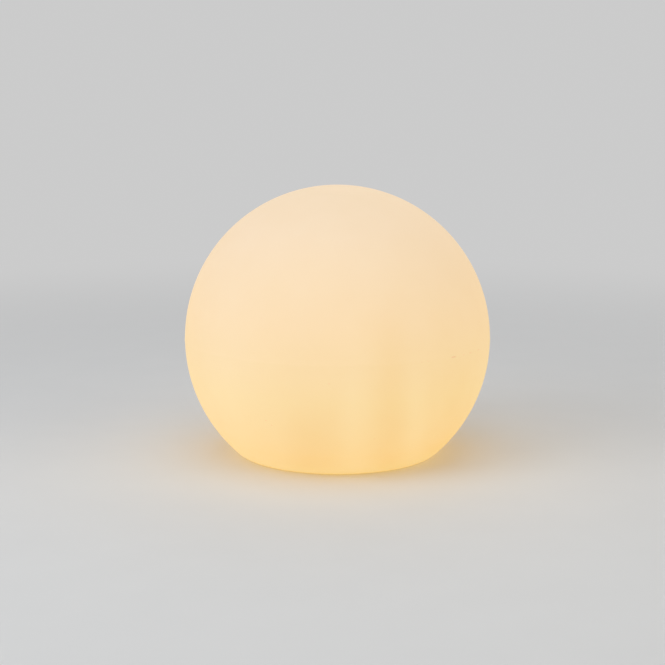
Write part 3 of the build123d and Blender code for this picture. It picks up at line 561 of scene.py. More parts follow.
@dataclass(frozen=True)
class MouldedPlastic(Finish):
    """Moulded plastic with a fine eroded texture and faint scuffs.

    Attributes:
        colour: Colour of the plastic.
        roughness: Its least roughness.
        grain: The eroded texture.
        grain_depth: Its depth.
        shade: How dark and pale the plastic is.
        shade_roughness: How much rougher it is where it is palest.
        scuffs: The scuffs.
        scuff_stretch: How much narrower they are on each axis.
        scuff_paleness: How much paler a scuff is.
        scuff_roughness: How much rougher a scuff is.
    """

    colour: Colour
    roughness: float = 0.5
    grain: Mottle = Mottle(1800.0, 2.0)
    grain_depth: float = 0.00006
    shade: Mottle = Mottle(30.0, 4.0, 0.94, 1.04)
    shade_roughness: float = 0.1
    scuffs: Mottle = Mottle(90.0, 5.0, 0.62, 0.75)
    scuff_stretch: Place = (1.0, 6.0, 1.0)
    scuff_paleness: float = 0.05
    scuff_roughness: float = 0.08

    def paint(self, sheet: FinishSheet, place: Wire) -> None:
        """Feed the shader of the finish.

        Args:
            sheet: The material's tree.
            place: The place on the piece.
        """
        pale = self.shade.noise(place)
        scuffs = self.scuffs.patches(sheet.stretched(place, self.scuff_stretch))
        shade = pale.between(self.shade.low, self.shade.high) + scuffs * self.scuff_paleness
        sheet.finish(
            base_color=sheet.dimmed(self.colour, shade),
            roughness=self.roughness + pale * self.shade_roughness + scuffs * self.scuff_roughness,
            normal=sheet.bump(self.grain.noise(place), self.grain_depth, strength=0.5),
        )


@dataclass(frozen=True)
class SoftRubber(Finish):
    """Matt rubber with a dusty bloom.

    Attributes:
        colour: Colour of the rubber.
        bloom: Colour of the dust on it.
        bloom_share: How much of the rubber the dust hides.
        dust: Where the dust is.
        roughness: Roughness of clean and of dusty rubber.
        grain: The grain of the skin.
    """

    colour: Colour
    bloom: Colour = (0.2, 0.2, 0.19)
    bloom_share: float = 0.35
    dust: Mottle = Mottle(86.667, 5.0, 0.45, 0.8, 0.65)
    roughness: Span = (0.72, 0.87)
    grain: Mottle = Mottle(2600.0, 2.0)

    def paint(self, sheet: FinishSheet, place: Wire) -> None:
        """Feed the shader of the finish.

        Args:
            sheet: The material's tree.
            place: The place on the piece.
        """
        dust = self.dust.patches(place)
        sheet.finish(
            base_color=sheet.mix(dust * self.bloom_share, self.colour, self.bloom),
            roughness=dust.between(*self.roughness),
            normal=sheet.bump(self.grain.noise(place), depth=0.00004, strength=0.4),
        )


class Metal(Enum):
    """The metals that the small pieces are made of, each with its colour."""

    STEEL = (0.62, 0.62, 0.63)
    NICKEL = (0.69, 0.67, 0.62)
    BRASS = (0.76, 0.56, 0.25)
    ALUMINIUM = (0.75, 0.76, 0.77)


@dataclass(frozen=True)
class DrawnMetal(Finish):
    """Plain metal with fine lines from drawing or turning.

    Attributes:
        metal: What it is made of.
        roughness: Its middle roughness, without tarnish.
        lines: The lines.
        line_stretch: How much closer they lie on each axis.
        line_roughness: How far they change the roughness, from the smoothest to the roughest.
        tarnish: How dark and bright the metal is.
        tarnish_roughness: How much rougher it is where it is brightest.
    """

    metal: Metal
    roughness: float = 0.3
    lines: Mottle = Mottle(700.0, 3.0)
    line_stretch: Place = (1.0, 1.0, 14.0)
    line_roughness: float = 0.12
    tarnish: Mottle = Mottle(87.5, 4.0, 0.86, 1.06)
    tarnish_roughness: float = 0.08

    def paint(self, sheet: FinishSheet, place: Wire) -> None:
        """Feed the shader of the finish.

        Args:
            sheet: The material's tree.
            place: The place on the piece.
        """
        lines = self.lines.noise(sheet.stretched(place, self.line_stretch))
        bright = self.tarnish.noise(place)
        uneven = (lines - 0.5) * self.line_roughness + bright * self.tarnish_roughness
        sheet.finish(
            base_color=sheet.dimmed(self.metal.value, bright.between(self.tarnish.low, self.tarnish.high)),
            metallic=1.0,
            roughness=self.roughness + uneven,
            normal=sheet.bump(lines, depth=0.00003, strength=0.5),
        )


class TrackLayout(Enum):
    """How the tracks of a board run."""

    ROWS = "rows"
    RINGS = "rings"


@dataclass(frozen=True)
class CircuitMask(Finish):
    """Solder mask over copper tracks, with a tinned hole where a track starts.

    Attributes:
        mask: Colour over the bare board.
        track: Colour over the tracks.
        layout: How the tracks run.
        pitch: Distance from track to track.
        half_width: Half a track's width.
        edge: Where a track's edge has faded out, as a multiple of that.
        run: Distance from the start of a track to the start of the next one in line.
        bare_share: The share of that distance with no track.
        start_share: The share of it over which a track starts.
        stagger: How many runs the tracks may be shifted along by.
        ring_radius: Where the run of a ring is measured.
        jog_spacing: Distance between the slanting jogs of a row.
        jog_levels: Where a row runs straight, to either side of a jog.
        hole_fade: The radii where a tinned hole starts to ease, and where it ends.
        tin: Its colour.
        roughness: The board's roughness, which follows its weave.
    """

    mask: Colour
    track: Colour
    layout: TrackLayout = TrackLayout.ROWS
    pitch: float = 0.0024
    half_width: float = 0.00045
    edge: float = 1.15
    run: float = 0.031
    bare_share: float = 0.2
    start_share: float = 0.01
    stagger: float = 9.0
    ring_radius: float = 0.04
    jog_spacing: float = 0.015
    jog_levels: Span = (0.005, 0.0095)
    hole_fade: Span = (0.00063, 0.0007)
    tin: Colour = (0.6, 0.59, 0.55)
    roughness: Mottle = Mottle(2400.0, 1.0, 0.28, 0.38)

    def paint(self, sheet: FinishSheet, place: Wire) -> None:
        """Feed the shader of the finish.

        Args:
            sheet: The material's tree.
            place: The place on the piece.
        """
        x, y, _ = sheet.axes(place)
        along, side = self.lay_out(x, y)
        row = side / self.pitch
        number = row.maths("FLOOR")
        chance = sheet.node("ShaderNodeTexWhiteNoise", {"noise_dimensions": "1D"}, {"W": number})
        offset = abs(row - number - 0.5) * self.pitch
        passed = (along / self.run + chance * self.stagger).maths("FRACT") - self.bare_share
        lines = offset.fade(self.half_width, self.half_width * self.edge)
        tracks = lines * passed.step(0.0, self.start_share)
        holes = (passed * self.run).across(offset).fade(*self.hole_fade)
        sheet.finish(
            base_color=sheet.mix(holes, sheet.mix(tracks, self.mask, self.track), self.tin),
            roughness=self.roughness.spread(place),
            coat_weight=0.25,
            normal=sheet.bump(tracks, depth=0.00003, strength=0.6),
        )

    def lay_out(self, x: Wire, y: Wire) -> tuple[Wire, Wire]:
        """Measure a place along and across the tracks.

        Args:
            x: The place to the right.
            y: The place to the back.

        Returns:
            How far along its track the place is, and how far across the tracks.
        """
        if self.layout is TrackLayout.RINGS:
            return x.maths("ARCTAN2", y) * self.ring_radius, x.across(y)
        low, high = self.jog_levels
        jog = x.maths("PINGPONG", self.jog_spacing).maths("MAXIMUM", low).maths("MINIMUM", high)
        return x, y + jog


@dataclass(frozen=True)
class ShrinkWrap(Finish):
    """Thin shrunk film round a cell, with a pale ring at its + end.

    Attributes:
        film: Colour of the film.
        ring: Colour of the ring.
        ring_fade: Where along the cell the film starts to turn into the ring, and where it ends.
        wrinkles: The wrinkles, with the least and the greatest roughness.
        wrinkle_stretch: How much closer they lie on each axis.
    """

    film: Colour = (0.06, 0.24, 0.38)
    ring: Colour = (0.8, 0.79, 0.75)
    ring_fade: Span = (0.0312, 0.0315)
    wrinkles: Mottle = Mottle(500.0, 3.0, 0.2, 0.35)
    wrinkle_stretch: Place = (1.0, 0.15, 1.0)

    def paint(self, sheet: FinishSheet, place: Wire) -> None:
        """Feed the shader of the finish.

        Args:
            sheet: The material's tree.
            place: The place on the piece.
        """
        ring = sheet.axes(place)[1].step(*self.ring_fade)
        wrinkles = self.wrinkles.noise(sheet.stretched(place, self.wrinkle_stretch))
        sheet.finish(
            base_color=sheet.mix(ring, self.film, self.ring),
            roughness=wrinkles.between(self.wrinkles.low, self.wrinkles.high),
            normal=sheet.bump(wrinkles, depth=0.0001, strength=0.35),
        )


@dataclass(frozen=True)
class LitPlastic(Finish):
    """Plastic that carries light: the LED phosphor and the frosted dome.

    Attributes:
        colour: Colour of the plastic by itself.
        glow: The light that it carries.
        roughness: Its least roughness.
        frost: The grain of the frosted skin, with its darkest and palest shade.
        frost_glow: The dimmest and the brightest light in that grain.
        frost_roughness: How much rougher the palest grain is.
    """

    colour: Colour
    glow: Colour
    roughness: float = 0.55
    frost: Mottle = Mottle(1200.0, 3.0, 0.92, 1.04)
    frost_glow: Span = (0.9, 1.1)
    frost_roughness: float = 0.15

    def paint(self, sheet: FinishSheet, place: Wire) -> None:
        """Feed the shader of the finish.

        Args:
            sheet: The material's tree.
            place: The place on the piece.
        """
        frost = self.frost.noise(place)
        sheet.finish(
            base_color=sheet.dimmed(self.colour, frost.between(self.frost.low, self.frost.high)),
            roughness=self.roughness + frost * self.frost_roughness,
            emission_color=sheet.dimmed(self.glow, frost.between(*self.frost_glow)),
            emission_strength=1.0,
            normal=sheet.bump(frost, depth=0.00004, strength=0.5),
        )


MODULE_PLASTIC = MouldedPlastic(
    (0.6, 0.59, 0.56),
    0.48,
    Mottle(1500.0, 2.0),
    0.00008,
    shade=Mottle(25.0, 4.0, 0.94, 1.04),
    scuffs=Mottle(75.0, 5.0, 0.62, 0.75),
)
LED_BOARD = CircuitMask(
    (0.64, 0.64, 0.6),
    (0.74, 0.74, 0.7),
    TrackLayout.RINGS,
    pitch=0.007,
    half_width=0.003,
    run=0.05,
    bare_share=0.02,
)
CARRIED_FINISHES: dict[str, Finish] = {
    "insert_brass": DrawnMetal(Metal.BRASS),
    "gasket_rubber": SoftRubber((0.05, 0.05, 0.05)),
    "collar_plastic": MouldedPlastic((0.66, 0.65, 0.62), 0.45),
    "screw_steel": DrawnMetal(Metal.STEEL, 0.25),
    "seal_rubber": SoftRubber((0.03, 0.03, 0.03)),
    "module_plastic": MODULE_PLASTIC,
    "button_plastic": MouldedPlastic((0.028, 0.03, 0.032), 0.34),
    "bung_rubber": SoftRubber((0.02, 0.02, 0.02)),
    "dark_plastic": MouldedPlastic((0.018, 0.018, 0.02), 0.42),
    "nut_metal": DrawnMetal(Metal.NICKEL, 0.28),
    "board_green": CircuitMask((0.012, 0.12, 0.05), (0.03, 0.2, 0.08)),
    "chip_black": MouldedPlastic((0.012, 0.012, 0.014), 0.55),
    "coil_ferrite": MouldedPlastic((0.03, 0.03, 0.033), 0.6),
    "can_aluminium": DrawnMetal(Metal.ALUMINIUM, 0.22),
    "header_cream": MouldedPlastic((0.68, 0.62, 0.45), 0.4),
    "cell_wrap": ShrinkWrap(),
    "strap_metal": DrawnMetal(Metal.ALUMINIUM, line_stretch=(14.0, 1.0, 1.0)),
    "lead_red": SoftRubber((0.42, 0.012, 0.01), (0.45, 0.1, 0.08)),
    "lead_black": SoftRubber((0.012, 0.012, 0.012)),
    "plate_aluminium": DrawnMetal(Metal.ALUMINIUM, line_stretch=(1.0, 12.0, 1.0)),
    "led_board_white": LED_BOARD,
    "led_yellow": LitPlastic((0.8, 0.55, 0.08), (0.95, 0.66, 0.24), 0.35),
    "dome_frosted": LitPlastic((0.7, 0.69, 0.66), (0.55, 0.36, 0.13)),
}


class Bench:
    """Modelling by hand, with everything else deselected first.

    Attributes:
        post_sides: Steps round a post.
        arc_step: The angle of one step of an arc.
        fewest_arc_steps: Steps of a short arc.
        bevel_steps: Steps over a rounded edge.
        merge_distance: Vertices closer than this are one.
    """

    post_sides: ClassVar[int] = 48
    arc_step: ClassVar[float] = math.radians(3.0)
    fewest_arc_steps: ClassVar[int] = 8
    bevel_steps: ClassVar[int] = 2
    merge_distance: ClassVar[float] = 1e-5

    @staticmethod
    def take(piece: Piece) -> None:
        """Select one object alone and make it active.

        Args:
            piece: The object.
        """
        bpy.ops.object.select_all(action="DESELECT")
        piece.select_set(True)
        bpy.context.view_layer.objects.active = piece

    @staticmethod
    def settle(piece: Piece) -> None:
        """Put an object at the origin with its place in its mesh, and leave it selected alone."""
        Bench.take(piece)
        bpy.ops.object.transform_apply(location=True, rotation=True, scale=True)

    @staticmethod
    def start(primitive: Callable[..., Any], **settings: Any) -> Piece:
        """Add a primitive as the start of a piece.

        Args:
            primitive: The operator that adds it.
            settings: Its size and place.

        Returns:
            The new object, at the origin with its place in its mesh.
        """
        bpy.ops.object.select_all(action="DESELECT")
        primitive(**settings)
        piece = bpy.context.object
        Bench.settle(piece)
        return piece

    @staticmethod
    @contextmanager
    def editing(piece: Piece, rule: Rule | None = None, mode: str = "VERT") -> Iterator[None]:
        """Go to edit mode with vertices selected by their place, and leave it at the end.

        Args:
            piece: The active object.
            rule: Says whether a vertex at a place is selected; without it, all are.
            mode: The select mode that the rule's vertices are turned into.

        Returns:
            The stay in edit mode, for a with statement.
        """
        bpy.ops.object.mode_set(mode="EDIT")
        bpy.ops.mesh.select_mode(type="VERT")
        bpy.ops.mesh.select_all(action="DESELECT" if rule else "SELECT")
        if rule:
            bpy.ops.object.mode_set(mode="OBJECT")
            for vertex in piece.data.vertices:
                vertex.select = rule(vertex.co)
            bpy.ops.object.mode_set(mode="EDIT")
            bpy.ops.mesh.select_mode(type=mode)
        yield
        bpy.ops.object.mode_set(mode="OBJECT")

    @staticmethod
    def apply(piece: Piece, kind: str, **settings: Any) -> None:
        """Add a modifier and apply it.

        Args:
            piece: The object that it changes.
            kind: The modifier's type.
            settings: Its settings.
        """
        Bench.take(piece)
        modifier = piece.modifiers.new(kind.title(), kind)
        for name, value in settings.items():
            setattr(modifier, name, value)
        bpy.ops.object.modifier_apply(modifier=modifier.name)

    @staticmethod
    def spin(angle: float, steps: int, **settings: Any) -> None:
        """Turn what is selected round the globe's axis."""
        bpy.ops.mesh.spin(angle=angle, steps=steps, center=(0, 0, 0), axis=(0, 0, 1), **settings)

    @staticmethod
    def extrude(step: Vector) -> None:
        """Extrude what is selected by a step."""
        bpy.ops.mesh.extrude_region_move(TRANSFORM_OT_translate={"value": step})

    @staticmethod
    def posts(radius: float, low: float, high: float, circle: float, count: int) -> Piece:
        """Make upright posts on a circle, as one object.

        Args:
            radius: A post's radius.
            low: The height of its lower end.
            high: The height of its upper end.
            circle: The radius of the circle that the posts stand on.
            count: How many there are; the first stands towards +X.

        Returns:
            The posts.
        """
        posts = Bench.start(
            bpy.ops.mesh.primitive_cylinder_add,
            vertices=Bench.post_sides,
            radius=radius,
            depth=high - low,
            location=(circle, 0.0, (low + high) / 2),
        )
        with Bench.editing(posts):
            Bench.spin(2 * math.pi * (count - 1) / count, count - 1, dupli=True)
        return posts

    @staticmethod
    def arc_strip(radius: float, width: float, level: float, start: float, sweep: float) -> Piece:
        """Make a flat strip that follows an arc round the axis.

        Args:
            radius: The arc's radius along the middle of the strip.
            width: The strip's width.
            level: Its height.
            start: Where it starts, in radians from +X.
            sweep: How far it goes, anticlockwise as seen from below.

        Returns:
            The strip.
        """
        place = (radius, width / 2, level)
        strip = Bench.start(bpy.ops.mesh.primitive_plane_add, size=width, location=place)
        with Bench.editing(strip, lambda corner: corner.y > width / 2):
            bpy.ops.mesh.delete(type="VERT")
        strip.rotation_euler.z = start
        Bench.settle(strip)
        steps = max(Bench.fewest_arc_steps, round(sweep / Bench.arc_step))
        with Bench.editing(strip):
            Bench.spin(sweep, steps, use_auto_merge=False)
        return strip

    @staticmethod
    def clean(piece: Piece) -> None:
        """Merge an object's doubles and turn its faces outwards.

        Args:
            piece: The object.
        """
        Bench.settle(piece)
        with Bench.editing(piece):
            bpy.ops.mesh.remove_doubles(threshold=Bench.merge_distance)
            bpy.ops.mesh.normals_make_consistent(inside=False)

    @staticmethod
    def thicken(piece: Piece, thickness: float, bevel: float) -> None:
        """Give flat faces a thickness either side of them, with rounded edges.

        Args:
            piece: The object.
            thickness: The whole thickness.
            bevel: The width of the rounded edges.
        """
        Bench.clean(piece)
        Bench.apply(piece, "SOLIDIFY", thickness=thickness, offset=0.0)
        Bench.apply(piece, "BEVEL", width=bevel, segments=Bench.bevel_steps, limit_method="ANGLE")

    @staticmethod
    def join(pieces: list[Piece]) -> Piece:
        """Join objects into the first of them.

        Args:
            pieces: The objects.

        Returns:
            The joined object.
        """
        Bench.take(pieces[0])
        for piece in pieces[1:]:
            piece.select_set(True)
        bpy.ops.object.join()
        return pieces[0]


class ModelledPiece(ABC):
    """A piece that is modelled here, with the body it rides on and the slot of its finish."""

    name: ClassVar[str]
    body: ClassVar[str]
    slot: ClassVar[str]
    stands_for: ClassVar[tuple[str, ...]] = ()
    smooth_below: ClassVar[float] = 35.0

    @abstractmethod
    def build(self) -> Piece:
        """Model the piece and give the finished object."""

    def dress(self, piece: Piece, materials: Materials) -> None:
        """Smooth and name the piece, give it its finish and put it on its body.

        Args:
            piece: The finished object.
            materials: The materials by slot.
        """
        Bench.settle(piece)
        bpy.ops.object.shade_smooth_by_angle(angle=math.radians(self.smooth_below))
        piece.name = self.name
        piece.data.name = self.name
        piece.data.materials.clear()
        piece.data.materials.append(materials[self.slot])
        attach(piece, self.body)
        if self.stands_for:
            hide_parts(*self.stands_for)
        LOG.info("%s rides on %s with %d faces", self.name, self.body, len(piece.data.polygons))


@dataclass
class GlobeShell(ModelledPiece):
    """The moulded globe: a ball cut flat at its foot, with a well in its underside.

    Attributes:
        radius: Outer radius of the ball.
        height: Height of the whole globe.
        well_radius: Radius of the well.
        well_roof: Height of the well's roof.
        insert_circle: Radius of the circle of screw inserts.
        insert_top: Height of the top of an insert's hole.
        wall: Thickness of the wall.
        corner: Radius of the rounded edge round the flat base.
        corner_steps: Steps round that edge.
        seam_rise: How far the mould seam stands proud.
        seam_half: Half the seam's width.
        seam_steps: Steps from the seam's middle to its edge.
        seam_reach: How far from the seam the section is cut for it.
        well_margin: Room between the well's side and the collar in it.
        well_bend: Radius of the well's rounded edges.
        bend_steps: Steps round those edges.
        roof_width: Width of the well's roof, in to the opening.
        insert_radius: Radius of an insert's hole.
        boss_wall: Thickness of a boss round its insert.
        boss_cap: Thickness of a boss over its insert.
        boss_count: How many bosses there are.
        segments: Steps round the globe.
        rings: Steps round the whole circle of its section.
    """

    name: ClassVar[str] = "moulded_globe"
    body: ClassVar[str] = "globe"
    slot: ClassVar[str] = "shell_plastic"
    stands_for: ClassVar[tuple[str, ...]] = ("globe_shell",)

    radius: float
    height: float
    well_radius: float
    well_roof: float
    insert_circle: float
    insert_top: float
    wall: float = 0.0035
    corner: float = 0.034
    corner_steps: int = 12
    seam_rise: float = 0.0004
    seam_half: float = 0.010
    seam_steps: int = 3
    seam_reach: float = 0.02
    well_margin: float = 0.012
    well_bend: float = 0.006
    bend_steps: int = 6
    roof_width: float = 0.036
    insert_radius: float = 0.0035
    boss_wall: float = 0.005
    boss_cap: float = 0.003
    boss_count: int = 6
    segments: int = 192
    rings: int = 256

    @classmethod
    def from_frame(cls) -> GlobeShell:
        """Take the globe's sizes from its solid and from what it carries.

        Returns:
            The globe.
        """
        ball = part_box("globe_shell")[1]
        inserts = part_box("thread_inserts")[1]
        return cls(
            radius=ball.x - cls.seam_rise,
            height=ball.z,
            well_radius=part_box("collar_ring")[1].x + cls.well_margin,
            well_roof=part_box("collar_gasket")[1].z,
            insert_circle=inserts.x - cls.insert_radius,
            insert_top=inserts.z,
        )

    def build(self) -> Piece:
        """Model the globe.

        Returns:
            The finished object.
        """
        shell = self.draw_ball_section()
        self.draw_foot(shell)
        self.raise_seam(shell)
        self.turn_section(shell)
        Bench.apply(shell, "SOLIDIFY", thickness=self.wall, offset=-1.0, use_even_offset=True)
        self.add_insert_bosses(shell)
        return shell

    @property
    def centre(self) -> float:
        """Height of the ball's centre."""
        return self.height - self.radius

    def draw_ball_section(self) -> Piece:
        """Draw the section of the ball from its pole to the rounded edge of the base.

        Returns:
            The object, a chain of edges in the XZ plane.
        """
        section = Bench.start(
            bpy.ops.mesh.primitive_circle_add,
            vertices=self.rings,
            radius=self.radius,
            location=(0, 0, self.centre),
            rotation=(math.pi / 2, 0, 0),
        )
        share = self.radius / (self.radius - self.corner)
        tangent = self.centre + (self.corner - self.centre) * share
        for place, normal in (((0, 0, 0), (1, 0, 0)), ((0, 0, tangent), (0, 0, 1))):
            with Bench.editing(section):
                bpy.ops.mesh.bisect(plane_co=place, plane_no=normal, clear_inner=True)
        return section

    def draw_foot(self, section: Piece) -> None:
        """Carry the section on round the base's edge, up the well and in to the opening.

        Args:
            section: The chain of edges that ends at the base's rounded edge.
        """
        drop = self.centre - self.corner
        across = math.sqrt((self.radius - self.corner) ** 2 - drop**2)
        low_bend = (self.well_radius + self.well_bend, self.well_bend)
        high_bend = (self.well_radius - self.well_bend, self.well_roof - self.well_bend)
        lowest = min(vertex.co.z for vertex in section.data.vertices)
        with Bench.editing(section, lambda place: place.z == lowest):
            self.bend((across, self.corner), -math.atan2(across, drop), self.corner_steps)
            self.run_to(section, (low_bend[0], 0.0))
            self.bend(low_bend, -math.pi / 2, self.bend_steps)
            self.run_to(section, (self.well_radius, high_bend[1]))
            self.bend(high_bend, math.pi / 2, self.bend_steps)
            self.run_to(section, (self.well_radius - self.roof_width, self.well_roof))

    @staticmethod
    def bend(centre: Span, angle: float, steps: int) -> None:
        """Extrude the selected vertex round an arc in the XZ plane.

        Args:
            centre: Distance from the axis and height of the arc's centre.
            angle: How far it turns; more than 0 turns anticlockwise, seen from the front.
            steps: How many edges the arc has.
        """
        bpy.ops.mesh.spin(
            steps=steps,
            angle=angle,
            center=(centre[0], 0, centre[1]),
            axis=(0, 1, 0),
            use_auto_merge=False,
        )

    @staticmethod
    def run_to(section: Piece, end: Span) -> None:
        """Extrude the selected vertex straight to a place in the XZ plane.

        Args:
            section: The chain of edges, in edit mode.
            end: Distance from the axis and height of the place.
        """
        section.update_from_editmode()
        start = next(vertex.co for vertex in section.data.vertices if vertex.select)
        Bench.extrude(Vector((end[0], 0, end[1])) - start)

    def raise_seam(self, section: Piece) -> None:
        """Raise the mould seam on the ball's widest circle.

        Args:
            section: The chain of edges, with the ball's section in it.
        """
        for step in range(-self.seam_steps, self.seam_steps + 1):
            level = self.centre + self.seam_half * step / self.seam_steps
            with Bench.editing(section, self.near(self.centre, self.seam_reach)):
                bpy.ops.mesh.bisect(plane_co=(0, 0, level), plane_no=(0, 0, 1))
        heights = [vertex.co.z for vertex in section.data.vertices]
        for level in sorted(z for z in heights if abs(z - self.centre) < self.seam_half):
            share = (level - self.centre) / self.seam_half
            rise = (0.5 + math.cos(math.pi * share) / 2) * self.seam_rise
            with Bench.editing(section, self.near(level, Bench.merge_distance)):
                bpy.ops.transform.translate(value=(rise, 0, 0))

    @staticmethod
    def near(level: float, reach: float) -> Rule:
        """Make the rule that picks what is near a height."""
        return lambda place: abs(place.z - level) < reach

    def turn_section(self, section: Piece) -> None:
        """Turn the section once round the globe's axis and close it.

        Args:
            section: The chain of edges from the pole to the opening.
        """
        with Bench.editing(section):
            Bench.spin(2 * math.pi, self.segments)
        Bench.clean(section)

    def add_insert_bosses(self, shell: Piece) -> None:
        """Add the bosses over the screw inserts and bore their holes.

        Args:
            shell: The hollow globe.
        """
        outer = self.insert_radius + self.boss_wall
        foot = self.well_roof + self.wall / 2
        head = self.insert_top + self.boss_cap
        bosses = Bench.posts(outer, foot, head, self.insert_circle, self.boss_count)
        mouth = self.well_roof - self.wall
        holes = Bench.posts(self.insert_radius, mouth, self.insert_top, self.insert_circle, self.boss_count)
        for operation, tool in (("UNION", bosses), ("DIFFERENCE", holes)):
            Bench.apply(shell, "BOOLEAN", operation=operation, object=tool, solver="EXACT")
            bpy.data.objects.remove(tool)


@dataclass
class TurnArrows(ModelledPiece):
    """Two raised arrows under the module's flange, which show the way to unscrew it.

    Attributes:
        radius: Radius of the circle that they follow.
        width: Width of the shaft.
        sweep: Length of the shaft as an angle, in degrees.
        head_width: Width of the head.
        head_length: Length of the head.
        shoulder: Length over which the shaft widens into the head.
        rise: How far they stand proud.
        bevel: Width of their rounded edges.
    """

    name: ClassVar[str] = "turn_arrows"
    body: ClassVar[str] = "light_module"
    slot: ClassVar[str] = "module_plastic"

    radius: float = 0.062
    width: float = 0.0038
    sweep: float = 44.0
    head_width: float = 0.0105
    head_length: float = 0.0095
    shoulder: float = 0.0008
    rise: float = 0.0007
    bevel: float = 0.0003

    def build(self) -> Piece:
        """Model the arrows.

        Returns:
            The finished object.
        """
        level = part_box("module_base")[0].z
        half = math.radians(self.sweep) / 2
        arrows = []
        for middle in (-math.pi / 2, math.pi / 2):
            arrow = Bench.arc_strip(self.radius, self.width, level, middle + half, 2 * half)
            self.add_head(arrow, middle - half, level)
            arrows.append(arrow)
        marks = Bench.join(arrows)
        Bench.thicken(marks, 2 * self.rise, self.bevel)
        return marks

    def add_head(self, arrow: Piece, end: float, level: float) -> None:
        """Widen the end of the shaft and draw it out to a point.

        Args:
            arrow: The shaft.
            end: Where the shaft ends, in radians from +X.
            level: Its height.
        """
        outward = Vector((math.cos(end), math.sin(end), 0.0))
        onward = Vector((math.sin(end), -math.cos(end), 0.0))
        neck = outward * self.radius + onward * self.shoulder + Vector((0.0, 0.0, level))
        wider = self.head_width / self.width
        with Bench.editing(arrow, lambda place: place.dot(onward) > -self.shoulder, "EDGE"):
            Bench.extrude(onward * self.shoulder)
            bpy.ops.transform.resize(value=(wider, wider, wider), center_override=neck)
            Bench.extrude(onward * self.head_length)
            bpy.ops.mesh.merge(type="CENTER")


@dataclass
class GripRibs(ModelledPiece):
    """Upright ribs on both sides of the grip bar, where finger tips press.

    Attributes:
        radius: A rib's radius.
        length: A rib's length.
        sides: Steps round a rib.
        rounding: How far its ends are rounded.
        rounding_steps: Steps round its ends.
        pitch: Distance from rib to rib.
        count: How many ribs a side has.
        bar_half: Half the width of the bar.
        set_in: Height of a rib's lower end over the module's underside.
    """

    name: ClassVar[str] = "grip_ribs"
    body: ClassVar[str] = "light_module"
    slot: ClassVar[str] = "module_plastic"

    radius: float = 0.0009
    length: float = 0.0085
    sides: int = 24
    rounding: float = 0.0006
    rounding_steps: int = 3
    pitch: float = 0.005
    count: int = 9
    bar_half: float = 0.01
    set_in: float = 0.002

    def build(self) -> Piece:
        """Model the ribs.

        Returns:
            The finished object.
        """
        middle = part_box("module_base")[0].z + self.set_in + self.length / 2
        ribs = Bench.start(
            bpy.ops.mesh.primitive_cylinder_add,
            vertices=self.sides,
            radius=self.radius,
            depth=self.length,
            location=(-self.pitch * (self.count - 1) / 2, self.bar_half, middle),
        )
        for up in (False, True):
            with Bench.editing(ribs, lambda place: (place.z > middle) == up, "EDGE"):
                bpy.ops.mesh.bevel(offset=self.rounding, segments=self.rounding_steps, affect="EDGES")
        Bench.apply(
            ribs,
            "ARRAY",
            count=self.count,
            use_relative_offset=False,
            use_constant_offset=True,
            constant_offset_displace=(self.pitch, 0.0, 0.0),
        )
        Bench.apply(ribs, "MIRROR", use_axis=(False, True, False))
        Bench.clean(ribs)
        return ribs


@dataclass
class PowerSign(ModelledPiece):
    """The raised sign on the button: a ring with a gap, and a bar in the gap.

    Attributes:
        radius: Radius of the ring.
        width: Width of the ring and the bar.
        gap: The gap in the ring, in degrees.
        bar: Where the bar starts and ends, from the ring's centre.
        rise: How far it stands proud.
        bevel: Width of its rounded edges.
    """

    name: ClassVar[str] = "power_sign"
    body: ClassVar[str] = "power_button"
    slot: ClassVar[str] = "button_plastic"

    radius: float = 0.003
    width: float = 0.0007
    gap: float = 70.0
    bar: Span = (0.0008, 0.0041)
    rise: float = 0.00022
    bevel: float = 0.0001

    def build(self) -> Piece:
        """Model the sign.

        Returns:
            The finished object.
        """
        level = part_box("power_button")[0].z
        side = math.radians(self.gap) / 2
        ring = Bench.arc_strip(self.radius, self.width, level, math.pi / 2 - side, 2 * math.pi - 2 * side)
        start, end = self.bar
        foot = start + self.width / 2
        bar = Bench.start(bpy.ops.mesh.primitive_plane_add, size=self.width, location=(0.0, foot, level))
        with Bench.editing(bar, lambda place: place.y > foot):
            bpy.ops.transform.translate(value=(0.0, end - start - self.width, 0.0))
        sign = Bench.join([ring, bar])
        Bench.thicken(sign, 2 * self.rise, self.bevel)
        return sign


@dataclass
class CarriedSolids:
    """The solids of the frame, each dressed in the finish of its slot.

    Attributes:
        frame: The loaded frame.
    """

    frame: dict[str, Any]

    def dress(self, materials: Materials) -> None:
        """Set the materials of the solids.

        Args:
            materials: The materials by slot.
        """
        for entry in self.frame["record"]["subparts"]:
            node = self.frame["nodes"][entry["node"]]
            for holder in node.material_slots:
                holder.material = materials[entry["material_slot"]]
            LOG.info("%s is dressed in %s", entry["node"], entry["material_slot"])


def aimed(name: str, data: bpy.types.ID, place: Vector, aim: Vector) -> Piece:
    """Put a camera or a lamp into the scene.

    Args:
        name: Its name.
        data: The camera or the lamp.
        place: Where it stands.
        aim: What it points at.

    Returns:
        The object.
    """
    holder = bpy.data.objects.new(name, data)
    holder.location = place
    holder.rotation_euler = (aim - place).to_track_quat("-Z", "Y").to_euler()
    bpy.context.scene.collection.objects.link(holder)
    return holder


